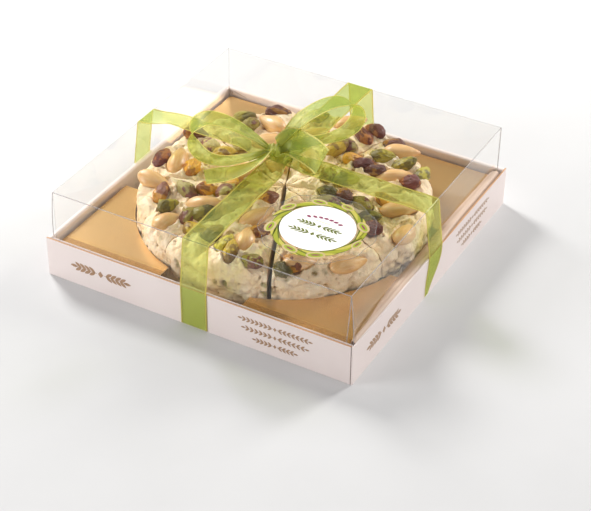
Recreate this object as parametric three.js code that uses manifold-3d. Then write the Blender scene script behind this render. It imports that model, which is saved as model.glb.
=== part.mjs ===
// A round soft nougat cake, cut into wedges and topped with blanched almonds and pistachio kernels,
// shut in its gift pack: a low card tray, four gilt corner cards, a clear film lid, a round sticker
// and a ribbon tied both ways round the pack with a bow on top.
//
// Millimetres, +Z up. The origin is the middle of the tray's underside, -Y is the front.

import * as THREE from 'three';
import { mergeVertices } from 'three/addons/utils/BufferGeometryUtils.js';
import Module from 'manifold-3d';

const wasm = await Module();
wasm.setup();

// ---------------------------------------------------------------- driving dimensions

const TRAY = {
  width: 200,
  height: 26,
  floor: 2.2,
  board: 0.9,
  foldWidth: 3.3, // the left and back walls, folded over at the top
  frontSlot: 1.2, // between the outer panel and the inner flap
  sideSlot: 1.9,
  flapDrop: 0.6, // the flap's edge below the rim
};
const LID = { width: 191.6, top: 56.3, film: 0.5, foot: 2.5 };
const CARD = { edge: 94.3, opening: 27, top: 21.5, board: 0.6, arcRadius: 88.6 };
const CAKE = {
  centre: [1, 0],
  radius: 87.4,
  base: 2.2,
  top: 38.2,
  lump: 1.5, // rise and fall of the top
  wobble: 0.7, // rise and fall of the outline
  corner: 9, // rounding of the rim
  tuck: 1.6, // how far the foot draws in
  cutRounding: 1.5, // how far the top dips at a cut
  cutReach: 2.2, // and how soon it is level again
};
// A wedge's net: rings on the top as shares of its reach, the rim's arc in degrees, and steps round.
const WEDGE = { topRings: [0.14, 0.32, 0.5, 0.68, 0.84], rimArc: [90, 65, 40, 15], steps: 12, footHeight: 8 };
// Directions of the cuts in degrees, with the width of each.
const CUTS = [
  { angle: -66, width: 2.6 },
  { angle: -21, width: 0.7 },
  { angle: 24, width: 0.6 },
  { angle: 69, width: 0.6 },
  { angle: 112, width: 0.8 },
  { angle: 158, width: 0.6 },
  { angle: 203, width: 0.8 },
  { angle: 249, width: 0.6 },
];
const ALMOND = { length: 23, width: 13, thickness: 9, rise: 1.2, point: 0.2, lean: 0.5, sides: [8, 7] };
const PISTACHIO = { length: 17, width: 9.4, thickness: 8.6, rise: 1.6, point: 0.12, lean: 1, sides: [7, 4] };
const KERNEL = { belly: 0.1, tip: 0.12, roll: 0.5 }; // shape and sideways roll of every nut
const NUT_GAP = 0.3;
const FILL = { radius: 81, almondTries: 90, pistachioTries: 150, almondSpace: 2.5, overlap: 1.2 };
const LABEL = { centre: [51, -51], radius: 28, thickness: 0.3 };
const RIBBON = { width: 17, thickness: 0.4, clearance: 0.15, crossLift: 0.75, crossHalf: 12, crossRamp: 5 };
const GROOVE = { width: 17.8, deep: 1.3, shallow: 0.7 };
const UNDERSIDE = { sideToSide: 0.95, frontToBack: 0.3 }; // heights of the ribbons in the grooves
const BOW = {
  thickness: 0.8,
  knot: [-4.5, -3.5, 63],
  knotRadii: [6.8, 5.8, 4.9],
  rootReach: 3, // where a loop starts, ahead of the knot's middle
  rootGap: 1.2, // between a loop's two strands there
  rootWidth: 0.35, // share of the ribbon's width that the gathered root keeps
  tailWidth: 0.55,
  reachPower: 1.2, // how slowly a loop sets off from the knot
  swingPower: 0.25, // and how soon its strands part
  turnShares: [0.3, 0.7], // where along a loop it turns from the upper strand to the lower one
  endShare: 0.14, // how far the twist of its end spreads
  loopSteps: 28,
  tailSteps: 8,
};

// Nuts placed by hand where the lid shows them best: x, y and the direction of the long axis.
const ALMONDS = [
  [-29, -43, 17], [-39, -66, 79], [4, -39, 58], [69, -49, 54], [71, 9, 31], [45, 64, 22], [-38, 53, 161],
  [53, 39, 22], [10, -61, 107], [-31, 35, 53], [47, -63, 50], [84, -8, 95], [-66, -12, 109], [-67, -36, 3],
];
const PISTACHIOS = [
  [-76, -14, 96], [-56, -46, 104], [-45, -55, 76], [-44, -36, 162], [-30, -57, 96], [-22, -52, 64],
  [-53, -17, 102], [-24, -24, 67], [-34, -29, 36], [-23, -66, 61], [19, 68, 150], [22, 77, 156],
  [35, 71, 169], [38, 53, 31], [53, 52, 36], [66, 50, 90], [23, 44, 60], [33, 41, 36], [41, 38, 178],
  [10, 46, 52], [15, 54, 166], [65, 36, 166], [38, 4, 147], [28, 5, 170], [51, 3, 162], [62, 13, 174],
  [60, -8, 15], [67, -17, 169], [-58, 51, 60], [-49, 45, 86], [-42, 66, 23], [-59, 13, 159],
  [-45, 13, 43], [-24, -12, 53], [0, -14, 50], [16, -49, 47], [2, -70, 90], [9, -75, 108], [24, -77, 167],
  [38, -73, 134], [43, -66, 152],
];

const COLOURS = {
  card: 0xe6d9d0,
  gilt: 0xd3a75f,
  film: 0xf4f6f6,
  paper: 0xf6f6f2,
  ribbon: 0xb4c258,
  nougat: 0xefe3c6,
  almond: 0xdcb27a,
};

// ---------------------------------------------------------------- helpers

const { sin, cos, sqrt, exp, abs, min, max, PI, hypot } = Math;
const radians = THREE.MathUtils.degToRad;
const vec = (x, y, z) => new THREE.Vector3(x, y, z);

// A repeatable draw between 0 and 1.
function draw(n) {
  const wave = sin(n * 12.9898) * 43758.5453;
  return wave - Math.floor(wave);
}

function toSolid(geometry) {
  const bare = geometry.clone();
  bare.deleteAttribute('normal');
  bare.deleteAttribute('uv');
  const merged = mergeVertices(bare, 1e-4);
  return new wasm.Manifold(new wasm.Mesh({
    numProp: 3,
    vertProperties: new Float32Array(merged.attributes.position.array),
    triVerts: new Uint32Array(merged.index.array),
  }));
}

function toGeometry(solid) {
  const mesh = solid.getMesh();
  const geometry = new THREE.BufferGeometry();
  geometry.setAttribute('position', new THREE.BufferAttribute(mesh.vertProperties, 3));
  geometry.setIndex(new THREE.BufferAttribute(mesh.triVerts, 1));
  return geometry;
}

function meshGeometry(points, triangles) {
  const geometry = new THREE.BufferGeometry();
  const flat = points.flatMap((p) => [p.x, p.y, p.z]);
  geometry.setAttribute('position', new THREE.Float32BufferAttribute(flat, 3));
  geometry.setIndex(triangles);
  return geometry;
}

// An axis-aligned block between two corners.
function block(x0, x1, y0, y1, z0, z1) {
  const geometry = new THREE.BoxGeometry(x1 - x0, y1 - y0, z1 - z0);
  geometry.translate((x0 + x1) / 2, (y0 + y1) / 2, (z0 + z1) / 2);
  return toSolid(geometry);
}

function joined(solids) {
  return solids.reduce((whole, solid) => whole.add(solid));
}

// A flat strip with square ends that follows stations { centre, across, half }.
function stripSolid(stations, thickness) {
  const points = [];
  const triangles = [];
  stations.forEach((station, i) => {
    const before = stations[max(i - 1, 0)].centre;
    const after = stations[min(i + 1, stations.length - 1)].centre;
    const along = after.clone().sub(before).normalize();
    const up = along.clone().cross(station.across).normalize();
    for (const [side, face] of [[-1, -1], [1, -1], [1, 1], [-1, 1]]) {
      points.push(station.centre.clone()
        .addScaledVector(station.across, side * station.half)
        .addScaledVector(up, face * thickness / 2));
    }
  });
  for (let i = 0; i < stations.length - 1; i += 1) {
    for (let k = 0; k < 4; k += 1) {
      const a = 4 * i + k;
      const b = 4 * i + (k + 1) % 4;
      triangles.push(a, b, a + 4, b, b + 4, a + 4);
    }
  }
  const last = 4 * (stations.length - 1);
  triangles.push(0, 2, 1, 0, 3, 2, last, last + 1, last + 2, last, last + 2, last + 3);
  const solid = toSolid(meshGeometry(points, triangles));
  return solid.volume() > 0 ? solid : toSolid(meshGeometry(points, triangles.reverse()));
}

// ---------------------------------------------------------------- tray

// A square tray with folded walls. In front and on the right the inner flap stands off the outer
// panel; the underside is grooved where the ribbons pass.
function tray() {
  const half = TRAY.width / 2;
  const inner = half - TRAY.board;
  const fold = half - TRAY.foldWidth;
  const frontFlap = inner - TRAY.frontSlot;
  const sideFlap = inner - TRAY.sideSlot;
  const wellFront = TRAY.board - frontFlap;
  const wellSide = sideFlap - TRAY.board;
  const flapTop = TRAY.height - TRAY.flapDrop;
  const above = TRAY.height + 1;
  const groove = GROOVE.width / 2;
  const cuts = [
    block(-fold, wellSide, wellFront, fold, TRAY.floor, above),
    block(-inner, inner, -inner, -frontFlap, TRAY.floor, above),
    block(sideFlap, inner, -inner, inner, TRAY.floor, above),
    block(-inner, inner, -inner, wellFront, flapTop, above),
    block(wellSide, inner, -inner, inner, flapTop, above),
    block(-half - 1, half + 1, -groove, groove, -1, GROOVE.deep),
    block(-groove, groove, -half - 1, half + 1, -1, GROOVE.shallow),
  ];
  return toGeometry(cuts.reduce(
    (body, cut) => body.subtract(cut),
    block(-half, half, -half, half, 0, TRAY.height),
  ));
}

// ---------------------------------------------------------------- corner cards, lid and label

// One gilt card: a raised plate with a leg folded down along each outer side.
function cornerCard(sideX, sideY) {
  const { edge, opening, top, board } = CARD;
  const span = (side) => (side > 0 ? [opening, edge] : [-edge, -opening]);
  const rim = (side) => (side > 0 ? [edge - board, edge] : [-edge, board - edge]);
  const plate = block(...span(sideX), ...span(sideY), top - board, top);
  const disc = new THREE.CylinderGeometry(CARD.arcRadius, CARD.arcRadius, 4 * top, 120);
  disc.rotateX(PI / 2);
  disc.translate(...CAKE.centre, 0);
  return toGeometry(joined([
    plate.subtract(toSolid(disc)),
    block(...rim(sideX), ...span(sideY), TRAY.floor, top),
    block(...span(sideX), ...rim(sideY), TRAY.floor, top),
  ]));
}

function lid() {
  const outer = LID.width / 2;
  const inner = outer - LID.film;
  return toGeometry(block(-outer, outer, -outer, outer, LID.foot, LID.top)
    .subtract(block(-inner, inner, -inner, inner, LID.foot - 1, LID.top - LID.film)));
}

function label() {
  const disc = new THREE.CylinderGeometry(LABEL.radius, LABEL.radius, LABEL.thickness, 48);
  disc.rotateX(PI / 2);
  disc.translate(...LABEL.centre, LID.top + LABEL.thickness / 2);
  return disc;
}

// ---------------------------------------------------------------- nougat

// Height of the folded, uneven top of the nougat.
function cakeTop(x, y) {
  const folds = sin(0.16 * x + 0.9) * cos(0.13 * y - 0.5)
    + 0.6 * sin(0.31 * x - 0.22 * y + 2)
    + 0.4 * cos(0.29 * x + 0.47 * y);
  return CAKE.top + CAKE.lump * folds / 2;
}

function cakeRadius(angle) {
  return CAKE.radius + CAKE.wobble * (sin(5 * angle + 1) + 0.6 * sin(9 * angle + 2)) / 1.6;
}

function cutPair(index) {
  const from = CUTS[index];
  const to = CUTS[(index + 1) % CUTS.length];
  const start = radians(from.angle);
  let end = radians(to.angle);
  while (end < start) end += 2 * PI;
  return { start, end, from, to };
}

// The point where the two cut faces of a wedge meet, set off from the cake's centre by the cuts' widths.
function wedgeTip({ start, end, from, to }) {
  const turn = sin(end - start);
  const a = from.width / 2;
  const b = to.width / 2;
  return {
    x: (a * cos(end) + b * cos(start)) / turn,
    y: (a * sin(end) + b * sin(start)) / turn,
  };
}

// Outline of a wedge's section, out from the tip: level top, rounded rim and side, as [reach, height].
function wedgeStations(reach) {
  const { corner, base, top, tuck } = CAKE;
  const flat = WEDGE.topRings.map((share) => [share * (reach - corner), top]);
  const round = WEDGE.rimArc.map((angle) => [
    reach - corner + corner * cos(radians(angle)),
    top - corner + corner * sin(radians(angle)),
  ]);
  const side = [
    [reach, (top + base + WEDGE.footHeight) / 2],
    [reach - tuck * 0.4, base + WEDGE.footHeight],
    [reach - tuck, base],
  ];
  return [...flat, ...round, ...side];
}

function wedge(index) {
  const { steps } = WEDGE;
  const cut = cutPair(index);
  const tip = wedgeTip(cut);
  const [cx, cy] = CAKE.centre;
  const height = (x, y, near) => cakeTop(x, y) - CAKE.cutRounding * exp(-near / CAKE.cutReach);
  const points = [
    vec(cx + tip.x, cy + tip.y, height(cx + tip.x, cy + tip.y, 0)),
    vec(cx + tip.x, cy + tip.y, CAKE.base),
  ];
  const triangles = [];
  let rows = 0;
  for (let i = 0; i <= steps; i += 1) {
    const angle = cut.start + (cut.end - cut.start) * (0.5 - 0.5 * cos(PI * i / steps));
    const along = tip.x * cos(angle) + tip.y * sin(angle);
    const reach = sqrt(along ** 2 - tip.x ** 2 - tip.y ** 2 + cakeRadius(angle) ** 2) - along;
    const stations = wedgeStations(reach);
    rows = stations.length;
    stations.forEach(([r, z]) => {
      const x = cx + tip.x + r * cos(angle);
      const y = cy + tip.y + r * sin(angle);
      const near = r * min(sin(angle - cut.start), sin(cut.end - angle));
      const share = (z - CAKE.base) / (CAKE.top - CAKE.base);
      points.push(vec(x, y, z + share * (height(x, y, max(near, 0)) - CAKE.top)));
    });
  }
  const at = (i, j) => 2 + i * rows + j;
  for (let i = 0; i < steps; i += 1) {
    triangles.push(0, at(i, 0), at(i + 1, 0));
    triangles.push(1, at(i + 1, rows - 1), at(i, rows - 1));
    for (let j = 0; j < rows - 1; j += 1) {
      triangles.push(at(i, j), at(i, j + 1), at(i + 1, j));
      triangles.push(at(i, j + 1), at(i + 1, j + 1), at(i + 1, j));
    }
  }
  triangles.push(1, at(0, 0), 0, 1, 0, at(steps, 0));
  for (let j = 0; j < rows - 1; j += 1) {
    triangles.push(1, at(0, j + 1), at(0, j));
    triangles.push(1, at(steps, j), at(steps, j + 1));
  }
  return toSolid(meshGeometry(points, triangles));
}

// ---------------------------------------------------------------- nuts

// Half of a nut's reach in a direction given in degrees.
function halfReach(size, yaw, direction) {
  const turn = radians(direction - yaw);
  return hypot(size.length / 2 * cos(turn), size.width / 2 * sin(turn));
}

// How far a nut reaches past each cut near it, as a signed push that would clear it.
function cutPushes(size, [x, y, yaw]) {
  return CUTS.map(({ angle, width }) => {
    const turn = radians(angle);
    const px = x - CAKE.centre[0];
    const py = y - CAKE.centre[1];
    const along = px * cos(turn) + py * sin(turn);
    const off = py * cos(turn) - px * sin(turn);
    const need = halfReach(size, yaw, angle + 90) + width / 2 + NUT_GAP;
    const push = along > 0 && abs(off) < need ? (off < 0 ? -need : need) - off : 0;
    return { push, turn };
  });
}

// Moves a nut off the cuts, so that none is cut through.
function clearOfCuts(size, nut) {
  let moved = nut;
  for (let round = 0; round < 4; round += 1) {
    const [x, y, yaw] = moved;
    const pushes = cutPushes(size, moved);
    moved = [
      x - pushes.reduce((sum, { push, turn }) => sum + push * sin(turn), 0),
      y + pushes.reduce((sum, { push, turn }) => sum + push * cos(turn), 0),
      yaw,
    ];
  }
  return moved;
}

function isClearOfCuts(size, nut) {
  return cutPushes(size, nut).every(({ push }) => abs(push) < 0.01);
}

function apart(size, nut, otherSize, other) {
  const distance = hypot(nut[0] - other[0], nut[1] - other[1]);
  const direction = Math.atan2(other[1] - nut[1], other[0] - nut[0]) * 180 / PI;
  return distance - halfReach(size, nut[2], direction) - halfReach(otherSize, other[2], direction);
}

// Adds nuts by a sunflower rule wherever there is room left between those already placed.
function fill(size, placed, tries, seed, hasRoom) {
  const goldenAngle = PI * (3 - sqrt(5));
  for (let i = 0; i < tries; i += 1) {
    const r = FILL.radius * sqrt((i + 0.5) / tries);
    const turn = i * goldenAngle + 0.3 * draw(seed + i);
    const yaw = 180 * draw(seed + i + 500);
    const nut = clearOfCuts(size, [CAKE.centre[0] + r * cos(turn), CAKE.centre[1] + r * sin(turn), yaw]);
    const inside = hypot(nut[0] - CAKE.centre[0], nut[1] - CAKE.centre[1]) < FILL.radius;
    if (inside && isClearOfCuts(size, nut) && hasRoom(nut)) placed.push(nut);
  }
}

function placeNuts() {
  const settle = (size, nuts) => (
    nuts.map((nut) => clearOfCuts(size, nut)).filter((nut) => isClearOfCuts(size, nut)));
  const almonds = settle(ALMOND, ALMONDS);
  const pistachios = settle(PISTACHIO, PISTACHIOS);
  const room = (size, nut, otherSize, others, space) => (
    others.every((other) => apart(size, nut, otherSize, other) > space));
  fill(ALMOND, almonds, FILL.almondTries, 0, (nut) => (
    room(ALMOND, nut, ALMOND, almonds, FILL.almondSpace)
    && room(ALMOND, nut, PISTACHIO, pistachios, -FILL.overlap)));
  fill(PISTACHIO, pistachios, FILL.pistachioTries, 40, (nut) => (
    room(PISTACHIO, nut, ALMOND, almonds, 0)
    && room(PISTACHIO, nut, PISTACHIO, pistachios, -FILL.overlap)));
  return { almonds, pistachios };
}

// A kernel on its side, round at one end and drawn to a point at the other.
function kernel(size, grow = 0) {
  const geometry = new THREE.SphereGeometry(1, ...size.sides);
  geometry.rotateZ(-PI / 2);
  const position = geometry.attributes.position;
  for (let i = 0; i < position.count; i += 1) {
    const t = position.getX(i);
    const girth = 1 - size.point * t - KERNEL.belly * t * t;
    const stretch = t > 0 ? 1 + KERNEL.tip * t * t : 1;
    position.setXYZ(i,
      t * stretch / (1 + KERNEL.tip / 2) * (size.length / 2 + grow),
      position.getY(i) * girth * (size.width / 2 + grow),
      position.getZ(i) * girth * (size.thickness / 2 + grow));
  }
  return geometry;
}

// Lays a nut down on the nougat, leaning a little by a draw of its own.
function lay(geometry, size, [x, y, yaw], seed) {
  const tilt = size.lean * (draw(seed) - 0.5);
  const roll = KERNEL.roll * (draw(seed + 77) - 0.5);
  const turned = geometry.clone();
  turned.rotateX(roll);
  turned.rotateY(tilt);
  turned.rotateZ(radians(yaw));
  turned.translate(x, y, cakeTop(x, y) + size.rise - rimDrop(x, y));
  return turned;
}

// Nuts near the rim sit lower, on the rounding.
function rimDrop(x, y) {
  const over = max(hypot(x - CAKE.centre[0], y - CAKE.centre[1]) - (CAKE.radius - CAKE.corner), 0);
  return CAKE.corner - sqrt(CAKE.corner ** 2 - min(over, CAKE.corner) ** 2);
}

function wedgeOf([x, y]) {
  const angle = Math.atan2(y - CAKE.centre[1], x - CAKE.centre[0]);
  return CUTS.findIndex((unused, index) => {
    const { start, end } = cutPair(index);
    return (angle >= start && angle < end) || (angle + 2 * PI >= start && angle + 2 * PI < end);
  });
}

// ---------------------------------------------------------------- ribbon and bow

// Half of the way round the pack, from the top to the underside; a lifted band steps over the other.
function ribbonRoute(lift, underside) {
  const over = LID.top + RIBBON.clearance + RIBBON.thickness / 2;
  const out = TRAY.width / 2 + RIBBON.clearance + RIBBON.thickness / 2;
  const lidEdge = LID.width / 2;
  const bend = 0.7;
  const fold = 0.3;
  const step = [[RIBBON.crossHalf, over + lift], [RIBBON.crossHalf + RIBBON.crossRamp, over]];
  return [
    ...(lift > 0 ? step : []),
    [lidEdge, over],
    [lidEdge + bend, over - bend],
    [out, TRAY.height + RIBBON.thickness],
    [out, underside + fold],
    [out - fold, underside],
  ];
}

// A closed outline, run anticlockwise, moved outwards by a distance with mitred corners.
function offsetOutline(outline, distance) {
  const count = outline.length;
  return outline.map(([u, z], i) => {
    const [u0, z0] = outline[(i + count - 1) % count];
    const [u1, z1] = outline[(i + 1) % count];
    const before = vec(u - u0, z - z0, 0).normalize();
    const after = vec(u1 - u, z1 - z, 0).normalize();
    const along = before.clone().add(after).normalize();
    const reach = distance / along.dot(after);
    return new THREE.Vector2(u + along.y * reach, z - along.x * reach);
  });
}

// A closed band round the pack in the XZ plane, its width along Y.
function ribbonBand(lift, underside) {
  const half = ribbonRoute(lift, underside);
  const outline = [...half.toReversed(), ...half.map(([u, z]) => [-u, z])];
  const shape = new THREE.Shape(offsetOutline(outline, RIBBON.thickness / 2));
  shape.holes.push(new THREE.Path(offsetOutline(outline, -RIBBON.thickness / 2)));
  const geometry = new THREE.ExtrudeGeometry(shape, { depth: RIBBON.width, bevelEnabled: false });
  geometry.rotateX(PI / 2);
  geometry.translate(0, RIBBON.width / 2, 0);
  return geometry;
}

// A loop leaves the knot as an upper strand and comes back as a lower one, open towards the front.
// Its plane leans back, and the band tilts by an angle of its own on each strand and at the end.
const LOOPS = [
  {
    direction: 206, length: 45, height: 24.4, lean: 31, lift: 1.2, rise: 6.3,
    tilts: { upper: 6, end: 42, lower: -6.5 },
  },
  {
    direction: 55, length: 53, height: 20.3, lean: 44, lift: 6, rise: 7,
    tilts: { upper: -9.5, end: -6, lower: -14 },
  },
];

function loopTilt(t, { upper, end, lower }) {
  const [from, to] = BOW.turnShares;
  const share = min(max((t - from) / (to - from), 0), 1);
  const bell = exp(-(((t - 0.5) / BOW.endShare) ** 2));
  return lower + (upper - lower) * (1 + cos(PI * share)) / 2 + (end - (upper + lower) / 2) * bell;
}

function loopStations({ direction, length, height, lean, lift, rise, tilts }) {
  const ahead = vec(cos(radians(direction)), sin(radians(direction)), 0);
  const side = vec(-ahead.y, ahead.x, 0);
  const front = side.y < 0 ? side : side.negate();
  const over = vec(0, 0, cos(radians(lean))).addScaledVector(front, -sin(radians(lean)));
  const knot = vec(...BOW.knot);
  const stations = [];
  for (let i = 0; i <= BOW.loopSteps; i += 1) {
    const t = i / BOW.loopSteps;
    const bulge = max(sin(PI * t), 0);
    const out = bulge ** BOW.reachPower;
    const swing = sin(2 * PI * t) * bulge ** BOW.swingPower;
    const open = min(1, 3 * out);
    const centre = knot.clone()
      .addScaledVector(ahead, BOW.rootReach + (length - BOW.rootReach) * out)
      .addScaledVector(over, height / 2 * swing + BOW.rootGap * cos(PI * t))
      .add(vec(0, 0, lift * open + rise * out));
    const tilt = radians(loopTilt(t, tilts));
    const across = front.clone().multiplyScalar(cos(tilt)).add(vec(0, 0, -sin(tilt)));
    const share = BOW.rootWidth + (1 - BOW.rootWidth) * open;
    stations.push({ centre, across, half: RIBBON.width / 2 * share });
  }
  return stations;
}

// A tail runs from the knot through hand-set points; its band turns from upright to lying flat.
const TAILS = [
  {
    route: [[-5, -6, 63], [-8.5, -18, 61.8], [-14, -29.5, 60.6], [-20, -37.2, 59.8], [-27, -43, 59]],
    across: [[0.6, -0.2, 0.75], [0.75, -0.45, 0.5], [0.7, -0.6, 0.25], [0.55, -0.8, 0.1], [0.42, -0.9, 0.05]],
  },
  {
    route: [[-5, -2, 66.5], [1, 4, 69], [11, 1, 68], [20.5, -0.8, 66.8], [28, -4.5, 65.8]],
    across: [[0.6, 0.3, 0.6], [0.45, 0.6, 0.6], [0.15, 0.62, 0.75], [-0.05, 0.62, 0.78], [-0.12, 0.6, 0.79]],
  },
];

function tailStations({ route, across }) {
  const path = new THREE.CatmullRomCurve3(route.map((p) => vec(...p)));
  const turn = new THREE.CatmullRomCurve3(across.map((p) => vec(...p)));
  const stations = [];
  for (let i = 0; i <= BOW.tailSteps; i += 1) {
    const t = i / BOW.tailSteps;
    const along = path.getTangent(t);
    const wide = turn.getPoint(t);
    wide.addScaledVector(along, -wide.dot(along)).normalize();
    const share = min(1, BOW.tailWidth + 2 * t);
    stations.push({ centre: path.getPoint(t), across: wide, half: RIBBON.width / 2 * share });
  }
  return stations;
}

function bow() {
  const knot = new THREE.SphereGeometry(1, 12, 8);
  knot.rotateX(PI / 2);
  knot.scale(...BOW.knotRadii);
  knot.translate(...BOW.knot);
  const strips = [...LOOPS.map(loopStations), ...TAILS.map(tailStations)];
  return toGeometry(joined([toSolid(knot), ...strips.map((strip) => stripSolid(strip, BOW.thickness))]));
}

// ---------------------------------------------------------------- the whole pack

const group = new THREE.Group();

function addPiece(name, geometry, colour, roughness = 0.6, extra = {}) {
  const material = new THREE.MeshStandardMaterial({ color: colour, roughness, metalness: 0, ...extra });
  const mesh = new THREE.Mesh(geometry, material);
  mesh.name = name;
  group.add(mesh);
}

function addNougat() {
  const { almonds, pistachios } = placeNuts();
  const almondShape = kernel(ALMOND);
  const pocketShape = kernel(ALMOND, NUT_GAP);
  const pistachioShape = kernel(PISTACHIO);
  const seedOf = { almond: (n) => n, pistachio: (n) => n + 900 };
  CUTS.forEach((unused, index) => {
    let solid = wedge(index);
    pistachios.forEach((nut, n) => {
      if (wedgeOf(nut) !== index) return;
      solid = solid.add(toSolid(lay(pistachioShape, PISTACHIO, nut, seedOf.pistachio(n))));
    });
    almonds.forEach((nut, n) => {
      if (wedgeOf(nut) !== index) return;
      solid = solid.subtract(toSolid(lay(pocketShape, ALMOND, nut, seedOf.almond(n))));
    });
    const kept = solid.decompose().sort((a, b) => b.volume() - a.volume())[0];
    addPiece(`nougat_wedge_${index + 1}`, toGeometry(kept), COLOURS.nougat, 0.7);
  });
  almonds.forEach((nut, n) => {
    const name = `almond_${String(n + 1).padStart(2, '0')}`;
    addPiece(name, lay(almondShape, ALMOND, nut, seedOf.almond(n)), COLOURS.almond, 0.35);
  });
}

addPiece('tray', tray(), COLOURS.card);
for (const [name, sideX, sideY] of [
  ['card_front_left', -1, -1], ['card_front_right', 1, -1],
  ['card_back_left', -1, 1], ['card_back_right', 1, 1],
]) {
  addPiece(name, cornerCard(sideX, sideY), COLOURS.gilt, 0.45, { metalness: 0.3 });
}
addNougat();
addPiece('lid', lid(), COLOURS.film, 0.05, { transparent: true, opacity: 0.2 });
addPiece('label', label(), COLOURS.paper, 0.5);
addPiece('ribbon_side_to_side', ribbonBand(0, UNDERSIDE.sideToSide), COLOURS.ribbon, 0.5);
const frontToBack = ribbonBand(RIBBON.crossLift, UNDERSIDE.frontToBack).rotateZ(PI / 2);
addPiece('ribbon_front_to_back', frontToBack, COLOURS.ribbon, 0.5);
addPiece('bow', bow(), COLOURS.ribbon, 0.5);

export default group;
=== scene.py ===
# The looks of a round soft nougat cake with almonds and pistachios in its clear gift pack.
# Lengths here are in millimetres, in the frame's own axes: +Z up, -Y the front.

import itertools
import math

import bpy
import numpy as np
from mathutils import Matrix, Vector


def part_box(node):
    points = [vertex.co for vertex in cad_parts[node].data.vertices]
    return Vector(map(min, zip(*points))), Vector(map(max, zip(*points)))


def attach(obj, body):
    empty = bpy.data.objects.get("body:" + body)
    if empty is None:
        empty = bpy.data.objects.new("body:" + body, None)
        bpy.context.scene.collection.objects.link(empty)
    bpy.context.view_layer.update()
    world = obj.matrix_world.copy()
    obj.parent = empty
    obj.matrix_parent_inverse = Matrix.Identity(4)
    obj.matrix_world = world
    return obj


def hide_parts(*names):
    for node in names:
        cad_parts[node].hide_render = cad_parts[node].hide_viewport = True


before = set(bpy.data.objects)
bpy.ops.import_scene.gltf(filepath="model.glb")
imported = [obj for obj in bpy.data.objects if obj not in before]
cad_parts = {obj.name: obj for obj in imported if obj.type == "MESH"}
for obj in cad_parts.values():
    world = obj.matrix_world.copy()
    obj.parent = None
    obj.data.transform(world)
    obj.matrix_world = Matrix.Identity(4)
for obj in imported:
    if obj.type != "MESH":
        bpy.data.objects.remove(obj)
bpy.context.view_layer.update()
scene = bpy.context.scene

MM = 0.001
TAU = 2 * math.pi
GOLDEN_ANGLE = math.pi * (3 - math.sqrt(5))
RIGHT = np.array([1, 0, 0])
UP = np.array([0, 0, 1])


# ---------------------------------------------------------------- sizes


def box_mm(node):
    low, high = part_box(node)
    return np.array(low) / MM, np.array(high) / MM


TRAY_HIGH = box_mm("tray")[1]
LID_LOW, LID_HIGH = box_mm("lid")
CARD_LOW, CARD_HIGH = box_mm("card_back_right")
LABEL_LOW, LABEL_HIGH = box_mm("label")

HALF_TRAY = TRAY_HIGH[0]
RIM = TRAY_HIGH[2]
HALF_LID = LID_HIGH[0]
LID_TOP = LID_HIGH[2]
TRAY = {
    "floor": 2.2,
    "board": 0.9,
    "fold": 3.3,
    "seam": 0.45,
    "cut_edge": 0.15,
    "front_slot": 1.2,
    "flap_drop": 0.6,
    "gap_start": -8,
}
GROOVE = {"width": 17.8, "deep": 1.3, "shallow": 0.7}
CARD = {"board": 0.6, "arc_radius": 88.6}
CAKE = {
    "centre": np.array([1.0, 0.0]),
    "radius": 87.4,
    "base": 2.2,
    "top": 38.2,
    "lump": 1.5,
    "wobble": 0.7,
    "corner": 9.0,
    "tuck": 1.6,
    "cut_rounding": 1.5,
    "cut_reach": 2.2,
    "foot_height": 8.0,
}
CUTS = [(-66, 2.6), (-21, 0.7), (24, 0.6), (69, 0.6), (112, 0.8), (158, 0.6), (203, 0.8), (249, 0.6)]
ALMOND = {"length": 23, "width": 13, "thickness": 9, "rise": 1.2, "point": 0.2, "lean": 0.5, "slim": 0.9}
PISTACHIO = {"length": 17, "width": 9.4, "thickness": 8.6, "rise": 1.6, "point": 0.12, "lean": 1.0}
KERNEL = {"belly": 0.1, "tip": 0.12, "roll": 0.5}
NUT_GAP = 0.3
FILL = {"radius": 81, "almond_tries": 90, "pistachio_tries": 150, "almond_space": 2.5, "overlap": 1.2}
RIBBON = {
    "width": 17.0,
    "thickness": 0.4,
    "sheet": 0.22,
    "clearance": 0.15,
    "lift": 0.75,
    "half": 12,
    "ramp": 5,
    "lid_bend": 0.7,
    "foot_fold": 0.3,
    "stitch": 1.1,
    "weave": 0.45,
}
UNDERSIDE = {"side_to_side": 0.95, "front_to_back": 0.3}
BOW = {
    "knot": np.array([-4.5, -3.5, 63.0]),
    "knot_radii": np.array([6.8, 5.8, 4.9]) * np.array([0.66, 0.66, 0.9]),
    "knot_heading": 25,
    "root_reach": 3,
    "root_gap": 1.2,
    "root_width": 0.35,
    "tail_width": 0.55,
    "reach_power": 1.2,
    "swing_power": 0.25,
    "turn_shares": (0.3, 0.7),
    "end_share": 0.14,
}

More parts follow.
